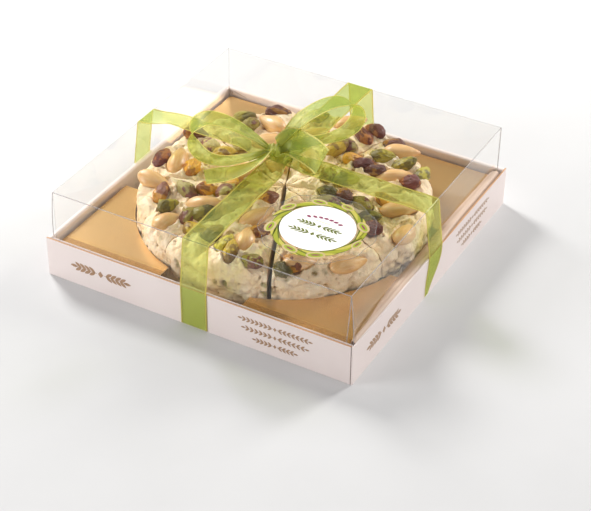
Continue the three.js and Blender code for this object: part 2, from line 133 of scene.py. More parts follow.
# The nuts that are placed one by one: x, y and the direction of the long axis in degrees.
ALMONDS = [
    (-29, -43, 17), (-39, -66, 79), (4, -39, 58), (69, -49, 54), (71, 9, 31), (45, 64, 22), (-38, 53, 161),
    (53, 39, 22), (10, -61, 107), (-31, 35, 53), (47, -63, 50), (84, -8, 95), (-66, -12, 109), (-67, -36, 3),
]
PISTACHIOS = [
    (-76, -14, 96, "plum"), (-56, -46, 104, "fox"), (-45, -55, 76, "green"), (-44, -36, 162, "sage"),
    (-30, -57, 96, "moss"), (-22, -52, 64, "bottle"), (-53, -17, 102, "amber"), (-24, -24, 67, "sage"),
    (-34, -29, 36, "fox"), (-23, -66, 61, "gold"), (19, 68, 150, "plum"), (22, 77, 156, "plum"),
    (35, 71, 169, "brown"), (38, 53, 31, "green"), (53, 52, 36, "green"), (66, 50, 90, "lime"),
    (23, 44, 60, "amber"), (33, 41, 36, "plum"), (41, 38, 178, "brown"), (10, 46, 52, "gold"),
    (15, 54, 166, "sage"), (65, 36, 166, "plum"), (38, 4, 147, "brown"), (28, 5, 170, "bottle"),
    (51, 3, 162, "moss"), (62, 13, 174, "amber"), (60, -8, 15, "bottle"), (67, -17, 169, "plum"),
    (-58, 51, 60, "green"), (-49, 45, 86, "moss"), (-42, 66, 23, "brown"), (-59, 13, 159, "sage"),
    (-45, 13, 43, "gold"), (-24, -12, 53, "amber"), (0, -14, 50, "sage"), (16, -49, 47, "fox"),
    (2, -70, 90, "lime"), (9, -75, 108, "gold"), (24, -77, 167, "moss"), (38, -73, 134, "bottle"),
    (43, -66, 152, "fox"),
]
# Flesh and skin of each sort of pistachio kernel, and how much of it the skin covers.
KERNEL_SORTS = {
    "plum": ("#b06a28", "#6e2a1c", 0.6),
    "brown": ("#b07c28", "#6a3214", 0.6),
    "fox": ("#dc9a2c", "#8c4a1c", 0.4),
    "amber": ("#ecae2c", "#b4701f", 0.3),
    "gold": ("#dcbc34", "#967018", 0.25),
    "green": ("#b4a62c", "#7a6e1c", 0.4),
    "lime": ("#ccc03c", "#867a22", 0.3),
    "moss": ("#a0902c", "#7c4222", 0.3),
    "bottle": ("#8e8424", "#5f5618", 0.45),
    "sage": ("#c2b46c", "#885244", 0.3),
}
SORT_ORDER = ["green", "amber", "plum", "moss", "brown", "gold", "sage", "fox", "bottle", "lime"]


# ---------------------------------------------------------------- numbers


def colour(code):
    """A linear colour from a screen colour such as #ffcc00."""
    parts = [int(code[i:i + 2], 16) / 255 for i in (1, 3, 5)]
    return np.array([c / 12.92 if c <= 0.04045 else ((c + 0.055) / 1.055) ** 2.4 for c in parts])


def rgba(code):
    return (*colour(code), 1.0)


def draw(n):
    """A repeatable draw between 0 and 1."""
    wave = math.sin(n * 12.9898) * 43758.5453
    return wave - math.floor(wave)


def lattice(cells, seed):
    wave = np.sin(cells @ np.array([127.1, 311.7, 74.7]) + seed) * 43758.5453
    return wave - np.floor(wave)


def value_noise(points, seed):
    """Smooth noise between -1 and 1, with a lattice 1 apart."""
    cells = np.floor(points)
    share = points - cells
    share = share * share * (3 - 2 * share)
    total = np.zeros(points.shape[:-1])
    for corner in itertools.product((0, 1), repeat=3):
        weight = np.prod(np.where(corner, share, 1 - share), axis=-1)
        total += weight * lattice(cells + corner, seed)
    return 2 * total - 1


def fractal(points, octaves, seed):
    layers = [value_noise(points * 2**k, seed + 17 * k) / 2**k for k in range(octaves)]
    return sum(layers) / (2 - 0.5 ** (octaves - 1))


def smooth_step(value, low, high):
    share = np.clip((value - low) / (high - low), 0, 1)
    return share * share * (3 - 2 * share)


def unit(vectors):
    length = np.linalg.norm(vectors, axis=-1, keepdims=True)
    return vectors / np.maximum(length, 1e-9)


def circle(angles):
    return np.stack([np.cos(angles), np.sin(angles)], axis=-1)


# ---------------------------------------------------------------- pieces


ATTRIBUTE_KINDS = {1: ("FLOAT", "value"), 3: ("FLOAT_VECTOR", "vector"), 4: ("FLOAT_COLOR", "color")}


def piece(name, points, faces, material, slot, nodes=(), sharp=40, attributes=None):
    """A mesh piece from points in millimetres, riding with the pack and standing for the named nodes."""
    mesh = bpy.data.meshes.new(name)
    mesh.from_pydata((np.asarray(points).reshape(-1, 3) * MM).tolist(), [], faces)
    mesh.materials.append(material)
    for key, values in (attributes or {}).items():
        kind, field = ATTRIBUTE_KINDS[values.size // len(values)]
        layer = mesh.attributes.new(key, kind, "POINT")
        layer.data.foreach_set(field, values.astype(np.float32).ravel())
    mesh.shade_smooth()
    mesh.set_sharp_from_angle(angle=math.radians(sharp))
    made = bpy.data.objects.new(name, mesh)
    scene.collection.objects.link(made)
    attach(made, "root")
    if nodes:
        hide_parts(*nodes)
    return made


def grid_faces(rows, columns, wrap_rows=False, wrap_columns=False, first=0, flip=False):
    """Quads over a grid of points stored row by row."""
    faces = []
    for i in range(rows if wrap_rows else rows - 1):
        for j in range(columns if wrap_columns else columns - 1):
            i2 = (i + 1) % rows
            j2 = (j + 1) % columns
            quad = [i * columns + j, i * columns + j2, i2 * columns + j2, i2 * columns + j]
            faces.append([first + k for k in (reversed(quad) if flip else quad)])
    return faces


def grid_normals(grid, wrap=False):
    if wrap:
        down = np.roll(grid, -1, axis=0) - np.roll(grid, 1, axis=0)
    else:
        down = np.gradient(grid, axis=0)
    return unit(np.cross(down, np.gradient(grid, axis=1)))


def shell(grid, thickness, wrap=False):
    """A thin closed shell round a grid of points; wrap joins the last row to the first."""
    rows, columns = grid.shape[:2]
    normals = grid_normals(grid, wrap)
    points = np.concatenate([grid + normals * thickness / 2, grid - normals * thickness / 2])
    count = rows * columns
    faces = grid_faces(rows, columns, wrap_rows=wrap, flip=True)
    faces += grid_faces(rows, columns, wrap_rows=wrap, first=count)
    sides = [[i * columns for i in range(rows)], [i * columns + columns - 1 for i in reversed(range(rows))]]
    if wrap:
        rims = [side + side[:1] for side in sides]
    else:
        bottom = [(rows - 1) * columns + j for j in range(columns)]
        rims = [sides[0] + bottom[1:] + sides[1][1:] + list(reversed(range(columns - 1)))]
    for rim in rims:
        faces += [[a, b, b + count, a + count] for a, b in zip(rim, rim[1:])]
    return points.reshape(-1, 3), faces


def slab(x0, x1, y0, y1, z0, z1):
    return [(x, y, z) for z in (z0, z1) for x, y in ((x0, y0), (x1, y0), (x1, y1), (x0, y1))]


def slabs(name, blocks, material, slot, nodes, bevel):
    """Upright blocks in one piece, with their edges bevelled."""
    sides = [(0, 3, 2, 1), (4, 5, 6, 7), (0, 1, 5, 4), (1, 2, 6, 5), (2, 3, 7, 6), (3, 0, 4, 7)]
    points = [point for block in blocks for point in slab(*block)]
    faces = [[8 * k + corner for corner in side] for k in range(len(blocks)) for side in sides]
    modifier = piece(name, points, faces, material, slot, nodes).modifiers.new("edges", "BEVEL")
    modifier.width = bevel * MM
    modifier.segments = 3
    modifier.limit_method = "ANGLE"
    modifier.angle_limit = math.radians(40)


# ---------------------------------------------------------------- materials


class Surface:
    """A material in the making, with the few kinds of node that this scene needs."""

    def __init__(self, name):
        self.material = bpy.data.materials.new(name)
        self.material.use_nodes = True
        self.tree = self.material.node_tree
        self.tree.nodes.clear()

    def node(self, kind, inputs, output=0, **settings):
        """One output of a new node that has these settings, and values or links on its inputs."""
        made = self.tree.nodes.new("ShaderNode" + kind)
        for key, value in settings.items():
            setattr(made, key, value)
        for key, value in inputs.items():
            if isinstance(value, bpy.types.NodeSocket):
                self.tree.links.new(value, made.inputs[key])
            else:
                made.inputs[key].default_value = value
        return made.outputs[output]

    def attribute(self, name, output="Fac"):
        return self.node("Attribute", {}, output, attribute_name=name)

    def noise(self, scale, detail=3.0, roughness=0.5, source=None, stretch=(1, 1, 1)):
        vector = source or self.node("TexCoord", {}, "Object")
        place = self.node("Mapping", {"Vector": vector, "Scale": stretch})
        inputs = {"Vector": place, "Scale": scale, "Detail": detail, "Roughness": roughness}
        return self.node("TexNoise", inputs)

    def span(self, value, low, high, start=0.0, end=1.0):
        inputs = {"Value": value, "From Min": low, "From Max": high, "To Min": start, "To Max": end}
        return self.node("MapRange", inputs)

    def calculate(self, operation, a, b=0.0):
        return self.node("Math", {0: a, 1: b}, operation=operation)

    def plus(self, a, b, factor):
        return self.calculate("ADD", a, self.calculate("MULTIPLY", b, factor))

    def mix(self, share, a, b, blend="MIX"):
        """A mix of two colours, each a screen colour's code or the output of a node."""
        a, b = (rgba(tone) if isinstance(tone, str) else tone for tone in (a, b))
        return self.node("Mix", {0: share, 6: a, 7: b}, 2, data_type="RGBA", blend_type=blend)

    def bump(self, height, strength, distance):
        return self.node("Bump", {"Height": height, "Strength": strength, "Distance": distance * MM})

    def blend(self, share, a, b):
        return self.node("MixShader", {0: share, 1: a, 2: b})

    def finish(self, shader):
        end = self.tree.nodes.new("ShaderNodeOutputMaterial")
        self.tree.links.new(shader, end.inputs["Surface"])
        return self.material

    def principled(self, base, roughness, inputs):
        shader = self.node("BsdfPrincipled", {"Base Color": base, "Roughness": roughness, **inputs})
        return self.finish(shader)


def nougat_material():
    """Creamy ivory with darker pores and olive smears, and painted shade in the dips and pits of its relief.
    """
    look = Surface("nougat")
    broad = look.noise(55)
    fine = look.noise(380, 4, 0.6)
    crumb = look.noise(190, 3, 0.6)
    grain = look.noise(1500, 2)
    cream = look.mix(look.span(broad, 0.35, 0.68), "#fce8ca", "#f2d3a5")
    toned = look.mix(look.span(fine, 0.6, 0.78, 0, 0.5), cream, "#c99a62")
    # Painted shade: this mask darkens the dips and pits of the relief towards brown.
    shaded = look.mix(look.attribute("painted_hollow_shade"), toned, "#ac8650")
    smear = look.calculate("MULTIPLY", look.attribute("smear"), look.span(fine, 0.3, 0.55))
    olive = look.mix(look.span(broad, 0.4, 0.6), "#8f8746", "#aba064")
    return look.principled(look.mix(smear, shaded, olive), look.span(fine, 0.3, 0.7, 0.42, 0.62), {
        "Subsurface Weight": 0.2,
        "Subsurface Radius": (1.0, 0.7, 0.4),
        "Subsurface Scale": 3 * MM,
        "Normal": look.bump(look.plus(look.plus(fine, grain, 0.35), crumb, 1.6), 0.6, 1.1),
    })


def almond_material():
    """Blanched almond, roasted darker in patches and towards its point, with paler streaks."""
    look = Surface("almond")
    streaks = look.noise(1.4, 3, 0.5, look.attribute("local", "Vector"), (0.05, 0.5, 0.5))
    base = look.mix(look.span(look.noise(90, 2), 0.35, 0.7), "#e8bc80", "#d8a566")
    toned = look.mix(look.span(streaks, 0.45, 0.75, 0, 0.6), base, "#f0d2a2")
    shaded = look.mix(look.span(look.attribute("local_end"), 0.6, 1.0, 0, 0.5), toned, "#b87a3a")
    return look.principled(shaded, look.span(streaks, 0.3, 0.7, 0.38, 0.5), {
        "Subsurface Weight": 0.15,
        "Subsurface Radius": (1.0, 0.6, 0.3),
        "Subsurface Scale": 2 * MM,
        "Coat Weight": 0.12,
        "Coat Roughness": 0.2,
        "Normal": look.bump(streaks, 0.25, 0.3),
    })


def pistachio_material():
    """Each kernel's own tint, with fine wrinkles and a waxy shine."""
    look = Surface("pistachio")
    wrinkles = look.noise(1.5, 4, 0.65, look.attribute("local", "Vector"), (0.25, 1.1, 1.1))
    dark = look.span(wrinkles, 0.4, 0.72, 0.0, 0.55)
    toned = look.mix(dark, look.attribute("tint", "Color"), "#a4865c", "MULTIPLY")
    return look.principled(toned, look.span(wrinkles, 0.3, 0.7, 0.28, 0.45), {
        "Subsurface Weight": 0.1,
        "Subsurface Radius": (1.0, 0.8, 0.3),
        "Subsurface Scale": 1.5 * MM,
        "Coat Weight": 0.15,
        "Coat Roughness": 0.25,
        "Normal": look.bump(wrinkles, 0.8, 1.4),
    })


def card_material(name, light, dark, roughness, metallic=0.0):
    """Smooth printed card with a faint mottle and fibre."""
    look = Surface(name)
    fibre = look.noise(2600, 2)
    uneven = look.span(fibre, 0.3, 0.7, roughness - 0.04, roughness + 0.04)
    return look.principled(look.mix(look.span(look.noise(22), 0.3, 0.7), light, dark), uneven, {
        "Metallic": metallic,
        "Normal": look.bump(fibre, 0.12, 0.05),
    })


def print_material(name, code):
    """Ink with a faint mottle and a slight gloss."""
    look = Surface(name)
    base = colour(code)
    tone = look.mix(look.span(look.noise(900, 2), 0.3, 0.7), (*base, 1), (*(base * 0.86), 1))
    return look.principled(tone, 0.4, {"Coat Weight": 0.2})


def film_material():
    """Clear glossy film: the shine grows towards grazing angles, and the rest shows what is behind."""
    look = Surface("clear_film")
    shine = look.node("BsdfGlossy", {"Color": (1, 1, 1, 1), "Roughness": 0.03})
    clear = look.node("BsdfTransparent", {"Color": (0.995, 0.995, 0.992, 1)})
    slant = look.node("LayerWeight", {"Blend": 0.5}, "Facing")
    share = look.span(look.calculate("POWER", slant, 5.0), 0.0, 1.0, 0.025, 0.7)
    return look.finish(look.blend(share, clear, shine))


def veiled_material(name, code, opacity):
    """A half clear tone, for the film's creases, the painted reflection at its foot over the front cards, and
    the sticker's carrier.
    """
    look = Surface(name)
    body = look.node("BsdfPrincipled", {"Base Color": rgba(code), "Roughness": 0.3})
    share = look.span(look.noise(300, 2), 0.3, 0.7, opacity * 0.85, opacity * 1.15)
    return look.finish(look.blend(share, look.node("BsdfTransparent", {}), body))


def organza_material(name, cover, satin_share, satin_roughness, thread_codes):
    """Sheer woven ribbon: it tints what is behind it, shines like satin and has dense stitched selvedges."""
    look = Surface(name)
    along = look.attribute("along")
    gather = look.attribute("gather")
    selvedge = look.span(look.calculate("ABSOLUTE", look.attribute("across")), 0.88, 0.92)
    stitch = look.calculate("SINE", look.calculate("MULTIPLY", along, TAU / RIBBON["stitch"]))
    weave = look.calculate("SINE", look.calculate("MULTIPLY", along, TAU / RIBBON["weave"]))
    cloud = look.noise(70)
    body = look.mix(look.span(cloud, 0.35, 0.65), "#8fae50", "#a9bf62")
    edge = look.mix(look.span(stitch, -0.2, 0.8), *thread_codes)
    # Where the ribbon is gathered it turns darker olive and denser: for the bunched layers, and painted shade
    # in the pleats.
    tone = look.mix(gather, look.mix(selvedge, body, edge), "#8f9838")
    glow = look.mix(selvedge, "#d9cf6c", "#e8dc82")
    opacity = look.span(cloud, 0.35, 0.65, cover, cover + 0.06)
    for threads, factor in ((look.span(weave, -1, 1), 0.03), (selvedge, 0.5), (gather, 0.25)):
        opacity = look.plus(opacity, threads, factor)
    front = look.node("BsdfDiffuse", {"Color": tone})
    through = look.node("BsdfTranslucent", {"Color": glow})
    satin = look.node("BsdfGlossy", {"Color": (0.95, 0.93, 0.75, 1), "Roughness": satin_roughness})
    clear = look.node("BsdfTransparent", {"Color": (0.88, 0.93, 0.63, 1)})
    woven = look.blend(look.span(selvedge, 0, 1, satin_share, 0.05), look.blend(0.45, front, through), satin)
    return look.finish(look.blend(opacity, clear, woven))


# ---------------------------------------------------------------- camera, floor and light

# The view is fitted to the corners of the tray and the lid: angles in degrees, lengths in millimetres,
# with the focal length in pixels of a picture 591 wide and the aim set off from the rim's middle.
VIEW = {
    "azimuth": 29.16,
    "elevation": 36.30,
    "roll": 0.578,
    "distance": 1014.7,
    "offset": (7.2, -31.9),
    "focal": 1709.2,
    "picture_width": 591,
}
# Each softbox: azimuth, elevation, power in watts, width in metres and tint.
SOFTBOXES = {
    "key_left": (-115, 36, 20.5, 0.4, (1, 0.985, 0.96)),
    "key_back": (155, 27, 15.0, 0.45, (1, 0.985, 0.96)),
    "overhead": (75, 70, 3.6, 0.7, (1, 0.99, 0.97)),
    "fill_front": (-45, 15, 14.5, 0.7, (1, 1, 1)),
    "fill_right": (88, 12, 5.0, 0.6, (1, 1, 1)),
}
SOFTBOX_DISTANCE = 1.4
FLOOR_HALF = 6.0


def direction(azimuth, elevation):
    """The unit vector towards an elevation and an azimuth, which turns from the front, -Y, towards +X."""
    a, e = math.radians(azimuth), math.radians(elevation)
    return Vector((math.sin(a) * math.cos(e), -math.cos(a) * math.cos(e), math.sin(e)))


def make_camera():
    azimuth, roll = math.radians(VIEW["azimuth"]), math.radians(VIEW["roll"])
    back = direction(VIEW["azimuth"], VIEW["elevation"])
    level = Vector((math.cos(azimuth), math.sin(azimuth), 0))
    upright = back.cross(level)
    right = level * math.cos(roll) + upright * math.sin(roll)
    up = upright * math.cos(roll) - level * math.sin(roll)
    data = bpy.data.cameras.new("camera")
    data.sensor_width = 36
    data.lens = data.sensor_width * VIEW["focal"] / VIEW["picture_width"]
    data.clip_start = 0.05
    data.clip_end = 20
    camera = bpy.data.objects.new("camera", data)
    place = right * VIEW["offset"][0] + up * VIEW["offset"][1] + back * VIEW["distance"]
    turn = Matrix((right, up, back)).transposed()
    camera.matrix_world = Matrix.Translation((place + Vector((0, 0, RIM))) * MM) @ turn.to_4x4()
    scene.collection.objects.link(camera)
    scene.camera = camera


def make_softbox(name, azimuth, elevation, power, size, tint):
    """A round softbox aimed at the pack."""
    towards = direction(azimuth, elevation)
    data = bpy.data.lights.new(name, "AREA")
    data.shape = "DISK"
    data.size = size
    data.energy = power
    data.color = tint
    light = bpy.data.objects.new(name, data)
    light.location = towards * SOFTBOX_DISTANCE
    light.rotation_mode = "QUATERNION"
    light.rotation_quaternion = (-towards).to_track_quat("-Z", "Y")
    scene.collection.objects.link(light)


def make_studio():
    scene.world = bpy.data.worlds.new("studio")
    scene.world.use_nodes = True
    background = scene.world.node_tree.nodes["Background"]
    background.inputs["Color"].default_value = (1, 0.99, 0.98, 1)
    background.inputs["Strength"].default_value = 0.18
    for name, values in SOFTBOXES.items():
        make_softbox(name, *values)
    mesh = bpy.data.meshes.new("floor")
    corners = [(x * FLOOR_HALF, y * FLOOR_HALF, 0) for x, y in ((-1, -1), (1, -1), (1, 1), (-1, 1))]
    mesh.from_pydata(corners, [], [(0, 1, 2, 3)])
    mesh.materials.append(card_material("floor_paper", "#cfcfd0", "#cdcdce", 0.8))
    floor = bpy.data.objects.new("floor", mesh)
    scene.collection.objects.link(floor)
    scene.view_settings.view_transform = "Standard"
    scene.view_settings.look = "None"
    scene.cycles.transparent_max_bounces = 48
    scene.cycles.max_bounces = 10


# ---------------------------------------------------------------- tray, cards and print


def make_tray(card, painted_shade_flap_board, edge, shade):
    half = HALF_TRAY
    board = TRAY["board"]
    inner = half - board
    fold = half - TRAY["fold"]
    front_flap = inner - TRAY["front_slot"]
    flap_top = RIM - TRAY["flap_drop"]
    floor = TRAY["floor"]
    groove = GROOVE["width"] / 2
    seam = inner - TRAY["seam"]
    lip = RIM - TRAY["cut_edge"]
    gap = TRAY["gap_start"]
    parts = [
        ("tray_floor", card, 0.1, [
            (-inner, -groove, -inner, -groove, 0, floor),
            (groove, inner, -inner, -groove, 0, floor),
            (-inner, -groove, groove, inner, 0, floor),
            (groove, inner, groove, inner, 0, floor),
            (-inner, inner, -groove, groove, GROOVE["deep"], floor),
            (-groove, groove, -inner, -groove, GROOVE["shallow"], floor),
            (-groove, groove, groove, inner, GROOVE["shallow"], floor),
        ]),
        ("tray_outer_walls", card, 0.15, [
            (-half, seam, -half, -inner, 0, lip),
            (inner, half, -half, half, 0, lip),
            (inner, half, -half, gap, lip, RIM),
        ]),
        ("tray_cut_edges", edge, 0.05, [
            (-half, seam, -half, -inner, lip, RIM),
            (inner, half, gap, half, lip, RIM),
        ]),
        # A dark strip of painted shade fills the open seam where the front wall meets the right one.
        ("tray_corner_seam_shade", shade, 0.05, [(seam, inner, -inner - board / 2, -inner, 0.2, RIM - 0.2)]),
        ("tray_front_flap", card, 0.3, [
            (-fold, inner - 0.8, -front_flap, board - front_flap, floor, flap_top),
        ]),
        ("tray_folded_walls", card, 1.2, [
            (-half, -fold, -inner, half, 0, RIM),
            (-fold, inner, fold, half, 0, RIM),
        ]),
    ]
    for name, material, bevel, blocks in parts:
        slabs(name, blocks, material, "tray_card", ["tray"], bevel)
    make_side_flap(painted_shade_flap_board, inner, flap_top)
    make_creases(shade, fold)


# The right wall's inner flap: its ends along the wall, its foot, its play at the lid and the wall, and the
# run over which it comes free of the wall. Its gap to the wall grows towards the back. Its roll leans in,
# eases at the back end, sinks at the front end and ends at a clearance over the cards.
FLAP = {
    "start": -94,
    "end": 95,
    "foot": 21.0,
    "play": 0.05,
    "freeing": 16,
    "gap": 1.7,
    "gap_run": (-4, 40),
    "lean": 5.0,
    "lean_run": 60,
    "ease": 0.8,
    "ease_run": (40, 90),
    "sink": 1.2,
    "sink_run": 39,
    "clearance": 0.6,
}
# The flap's round top: a share of its width, the drop there, and the further drop where it meets the wall.
FLAP_TOP = [
    (0.03, 0.5, 0), (0.2, 0.2, 0), (0.5, 0.3, 0.25),
    (0.75, 0.5, 0.7), (0.92, 0.9, 1.4), (1, 1.6, 1.8),
]


def make_side_flap(card, inner, top):
    """The right wall's inner flap: a roll of board that leaves the wall towards the back and leans in."""
    front = FLAP["start"]
    y = np.linspace(front, FLAP["end"], 95)
    free = smooth_step(y, TRAY["gap_start"], TRAY["gap_start"] + FLAP["freeing"])
    inside = HALF_LID - FLAP["play"]
    gap = (0.25 + FLAP["gap"] * smooth_step(y, *FLAP["gap_run"])) * free
    wide = inner - FLAP["play"] - gap - inside
    profile = [(0, FLAP["foot"])]
    profile += [(share, top - drop - dip * (1 - free)) for share, drop, dip in FLAP_TOP]
    profile += [(1, 12.0), (1, TRAY["floor"] + 0.3)]
    lines = [np.stack([inside + share * wide, y, z + 0 * y], axis=-1) for share, z in profile]
    flap = np.stack(lines, axis=1)
    piece("tray_side_flap", *shell(flap, 0.4), card, "tray_card", ["tray"], 70)
    lean = 0.3 + FLAP["lean"] * smooth_step(y, front, front + FLAP["lean_run"])
    lean -= FLAP["ease"] * smooth_step(y, *FLAP["ease_run"])
    lean += 0.25 * value_noise(np.stack([y / 14, 0 * y, 0 * y], axis=-1), 6.0)
    bend = np.linspace(0, 1, 14)
    across = HALF_LID + 0.1 - lean[:, None] * bend**1.25
    crest = top - 0.3
    height = crest - (crest - CARD_HIGH[2] - FLAP["clearance"]) * bend**2.2
    sink = FLAP["sink"] * (1 - smooth_step(y, front, front + FLAP["sink_run"]))[:, None]
    roll = np.stack([across, y[:, None] + 0 * across, height - sink], axis=-1)
    piece("tray_side_roll", *shell(roll, 0.6), card, "tray_card", ["tray"], 50)


def make_creases(shade, fold):
    """Thin dark strips of painted shade along fine folds in the board near the back left corner."""
    low, high = CARD_HIGH[2] + 0.3, RIM - 1.4
    shapes = []
    for line in (((1.2, low), (1.6, high)), ((2.6, low), (2.4, high)), ((3.4, high), (13.5, low))):
        start, end = np.array(line) - np.array([fold, 0])
        side = 0.14 * unit(np.array([start[1] - end[1], end[0] - start[0]]))
        shapes.append((np.array([start + side, end + side, end - side, start - side]), -0.05, 0.05))
    flat_shapes("tray_crease_shade_lines", shapes, lambda u, v, z: (u, fold + z, v), shade, "tray_card")


def make_card(name, node, side_x, side_y, gilt, edge_card):
    """A raised plate with an arc cut out, and a leg folded down along each outer side."""
    low, high, top = CARD_LOW[0], CARD_HIGH[0], CARD_HIGH[2]
    board, radius = CARD["board"], CARD["arc_radius"]
    side = np.array([side_x, side_y])
    near = side * low - CAKE["centre"]
    far = side * np.sqrt(radius**2 - near[::-1] ** 2)
    start = math.atan2(near[1], far[0])
    end = math.atan2(far[1], near[0])
    sweep = (end - start + math.pi) % TAU - math.pi
    share = np.linspace(0, 1, 61)
    inner = CAKE["centre"] + radius * circle(start + sweep * share)
    corners = side * np.array([[high, low], [high, high], [low, high]])
    outer = np.stack([np.interp(2 * share, range(3), corners[:, k]) for k in (0, 1)], axis=1)
    flat = inner + (outer - inner) * np.linspace(0, 1, 9)[:, None, None]
    grid = np.concatenate([flat, np.full((*flat.shape[:2], 1), top - board / 2)], axis=2)
    if side_x * side_y > 0:
        grid = grid[::-1]
    made = piece(name, *shell(grid, board), gilt, "gilt_card", [node], 30)
    made.data.materials.append(edge_card)
    upright = [abs(face.normal.z) < 0.5 for face in made.data.polygons]
    made.data.polygons.foreach_set("material_index", np.array(upright, np.int32))
    leg_x, leg_y = (sorted((s * (high - board), s * high)) for s in side)
    reach_x, reach_y = (sorted((s * low, s * high)) for s in side)
    foot = TRAY["floor"]
    slabs(name + "_legs", [
        (*leg_x, *reach_y, foot, top - board),
        (*reach_x, *leg_y, foot, top - board),
    ], gilt, "gilt_card", [node], 0.1)


def leaf_outline(length, width, steps=9):
    """The closed outline of a lens-shaped leaf that starts at the origin and points along x."""
    share = np.linspace(0, 1, steps)
    half = width / 2 * np.sin(np.pi * share) ** 0.8
    upper = np.stack([share * length, half], axis=1)
    lower = np.stack([share * length, -half], axis=1)[1:-1][::-1]
    return np.concatenate([upper, lower])


def turned(outline, angle, place):
    c, s = math.cos(angle), math.sin(angle)
    return outline @ np.array([[c, s], [-s, c]]) + np.array(place)


def disc_outline(radius, steps=72):
    return radius * circle(np.arange(steps) * TAU / steps)


def flat_shapes(name, shapes, place, material, slot, nodes=()):
    """Thin flat shapes. Each is an outline with its two heights; place maps a point and a height to space."""
    points, faces = [], []
    for outline, low, high in shapes:
        first, count = len(points), len(outline)
        points += [place(u, v, low) for u, v in outline] + [place(u, v, high) for u, v in outline]
        faces.append([first + k for k in reversed(range(count))])
        faces.append([first + count + k for k in range(count)])
        for k in range(count):
            k2 = (k + 1) % count
            faces.append([first + k, first + k2, first + count + k2, first + count + k])
    piece(name, points, faces, material, slot, nodes, 30)


def spray(length, pairs, leaf, width):
    """A small symmetrical sprig: leaves in pairs along a stem to both sides of a lozenge."""
    shapes = [turned(leaf_outline(leaf * 0.9, leaf * 0.7, 3), math.pi / 2, (0, -leaf * 0.45))]
    leaflet = leaf_outline(leaf, width)
    for side, heading in ((-1, math.pi), (1, 0)):
        for k in range(pairs):
            x = side * (leaf * 0.7 + k * (length / 2 - leaf) / pairs)
            shapes += [turned(leaflet, heading + lean, (x, 0)) for lean in (-0.6, 0.6)]
        shapes.append(turned(leaflet, heading, (side * (length / 2 - leaf * 0.45), 0)))
        start, end = side * leaf * 0.5, side * length / 2
        stem = np.array([[start, -0.15], [end, -0.12], [end, 0.12], [start, 0.15]])
        shapes.append(stem[::side])
    return shapes


def make_tray_print(ink):
    """Leaf sprigs on the two outer walls in view: one near an end, and three short rows near the other."""
    rise = 0.04
    middle = RIM * 0.5
    outlines = [outline + (-63, middle) for outline in spray(36, 4, 5.2, 2.0)]
    for row, length, pairs in ((1, 44, 7), (0, 40, 6), (-1, 26, 4)):
        outlines += [outline + (52, middle + 6 * row) for outline in spray(length, pairs, 3.0, 1.1)]
    shapes = [(outline, -rise, rise) for outline in outlines]
    flat_shapes("print_front", shapes, lambda u, v, z: (u, -HALF_TRAY - z, v), ink, "tray_card")
    flat_shapes("print_right", shapes, lambda u, v, z: (HALF_TRAY + z, u, v), ink, "tray_card")


# ---------------------------------------------------------------- nuts: the same rule as the solids'


def half_reach(size, yaw, direction):
    turn = math.radians(direction - yaw)
    return math.hypot(size["length"] / 2 * math.cos(turn), size["width"] / 2 * math.sin(turn))


def cut_pushes(size, nut):
    pushes = []
    for angle, width in CUTS:
        turn = math.radians(angle)
        px, py = nut[0] - CAKE["centre"][0], nut[1] - CAKE["centre"][1]
        along = px * math.cos(turn) + py * math.sin(turn)
        off = py * math.cos(turn) - px * math.sin(turn)
        need = half_reach(size, nut[2], angle + 90) + width / 2 + NUT_GAP
        near = along > 0 and abs(off) < need
        pushes.append(((-need if off < 0 else need) - off if near else 0.0, turn))
    return pushes


def clear_of_cuts(size, nut):
    for _ in range(4):
        pushes = cut_pushes(size, nut)
        nut = (
            nut[0] - sum(push * math.sin(turn) for push, turn in pushes),
            nut[1] + sum(push * math.cos(turn) for push, turn in pushes),
            *nut[2:],
        )
    return nut


def is_clear_of_cuts(size, nut):
    return all(abs(push) < 0.01 for push, _ in cut_pushes(size, nut))


def apart(size, nut, other_size, other):
    distance = math.hypot(nut[0] - other[0], nut[1] - other[1])
    direction = math.degrees(math.atan2(other[1] - nut[1], other[0] - nut[0]))
    return distance - half_reach(size, nut[2], direction) - half_reach(other_size, other[2], direction)


def fill(size, placed, tries, seed, has_room, sort=None):
    cx, cy = CAKE["centre"]
    for i in range(tries):
        r = FILL["radius"] * math.sqrt((i + 0.5) / tries)
        turn = i * GOLDEN_ANGLE + 0.3 * draw(seed + i)
        yaw = 180 * draw(seed + i + 500)
        nut = clear_of_cuts(size, (cx + r * math.cos(turn), cy + r * math.sin(turn), yaw))
        inside = math.hypot(nut[0] - cx, nut[1] - cy) < FILL["radius"]
        if inside and is_clear_of_cuts(size, nut) and has_room(nut):
            placed.append((*nut, sort(i)) if sort else nut)


def place_nuts():
    def settle(size, nuts):
        moved = [clear_of_cuts(size, nut) for nut in nuts]
        return [nut for nut in moved if is_clear_of_cuts(size, nut)]

    def room(size, nut, other_size, others, space):
        return all(apart(size, nut, other_size, other) > space for other in others)

    almonds = settle(ALMOND, ALMONDS)
    pistachios = settle(PISTACHIO, PISTACHIOS)
    fill(ALMOND, almonds, FILL["almond_tries"], 0, lambda nut: (
        room(ALMOND, nut, ALMOND, almonds, FILL["almond_space"])
        and room(ALMOND, nut, PISTACHIO, pistachios, -FILL["overlap"])))
    fill(PISTACHIO, pistachios, FILL["pistachio_tries"], 40, lambda nut: (
        room(PISTACHIO, nut, ALMOND, almonds, 0)
        and room(PISTACHIO, nut, PISTACHIO, pistachios, -FILL["overlap"])),
        lambda i: SORT_ORDER[i % len(SORT_ORDER)])
    return almonds, pistachios


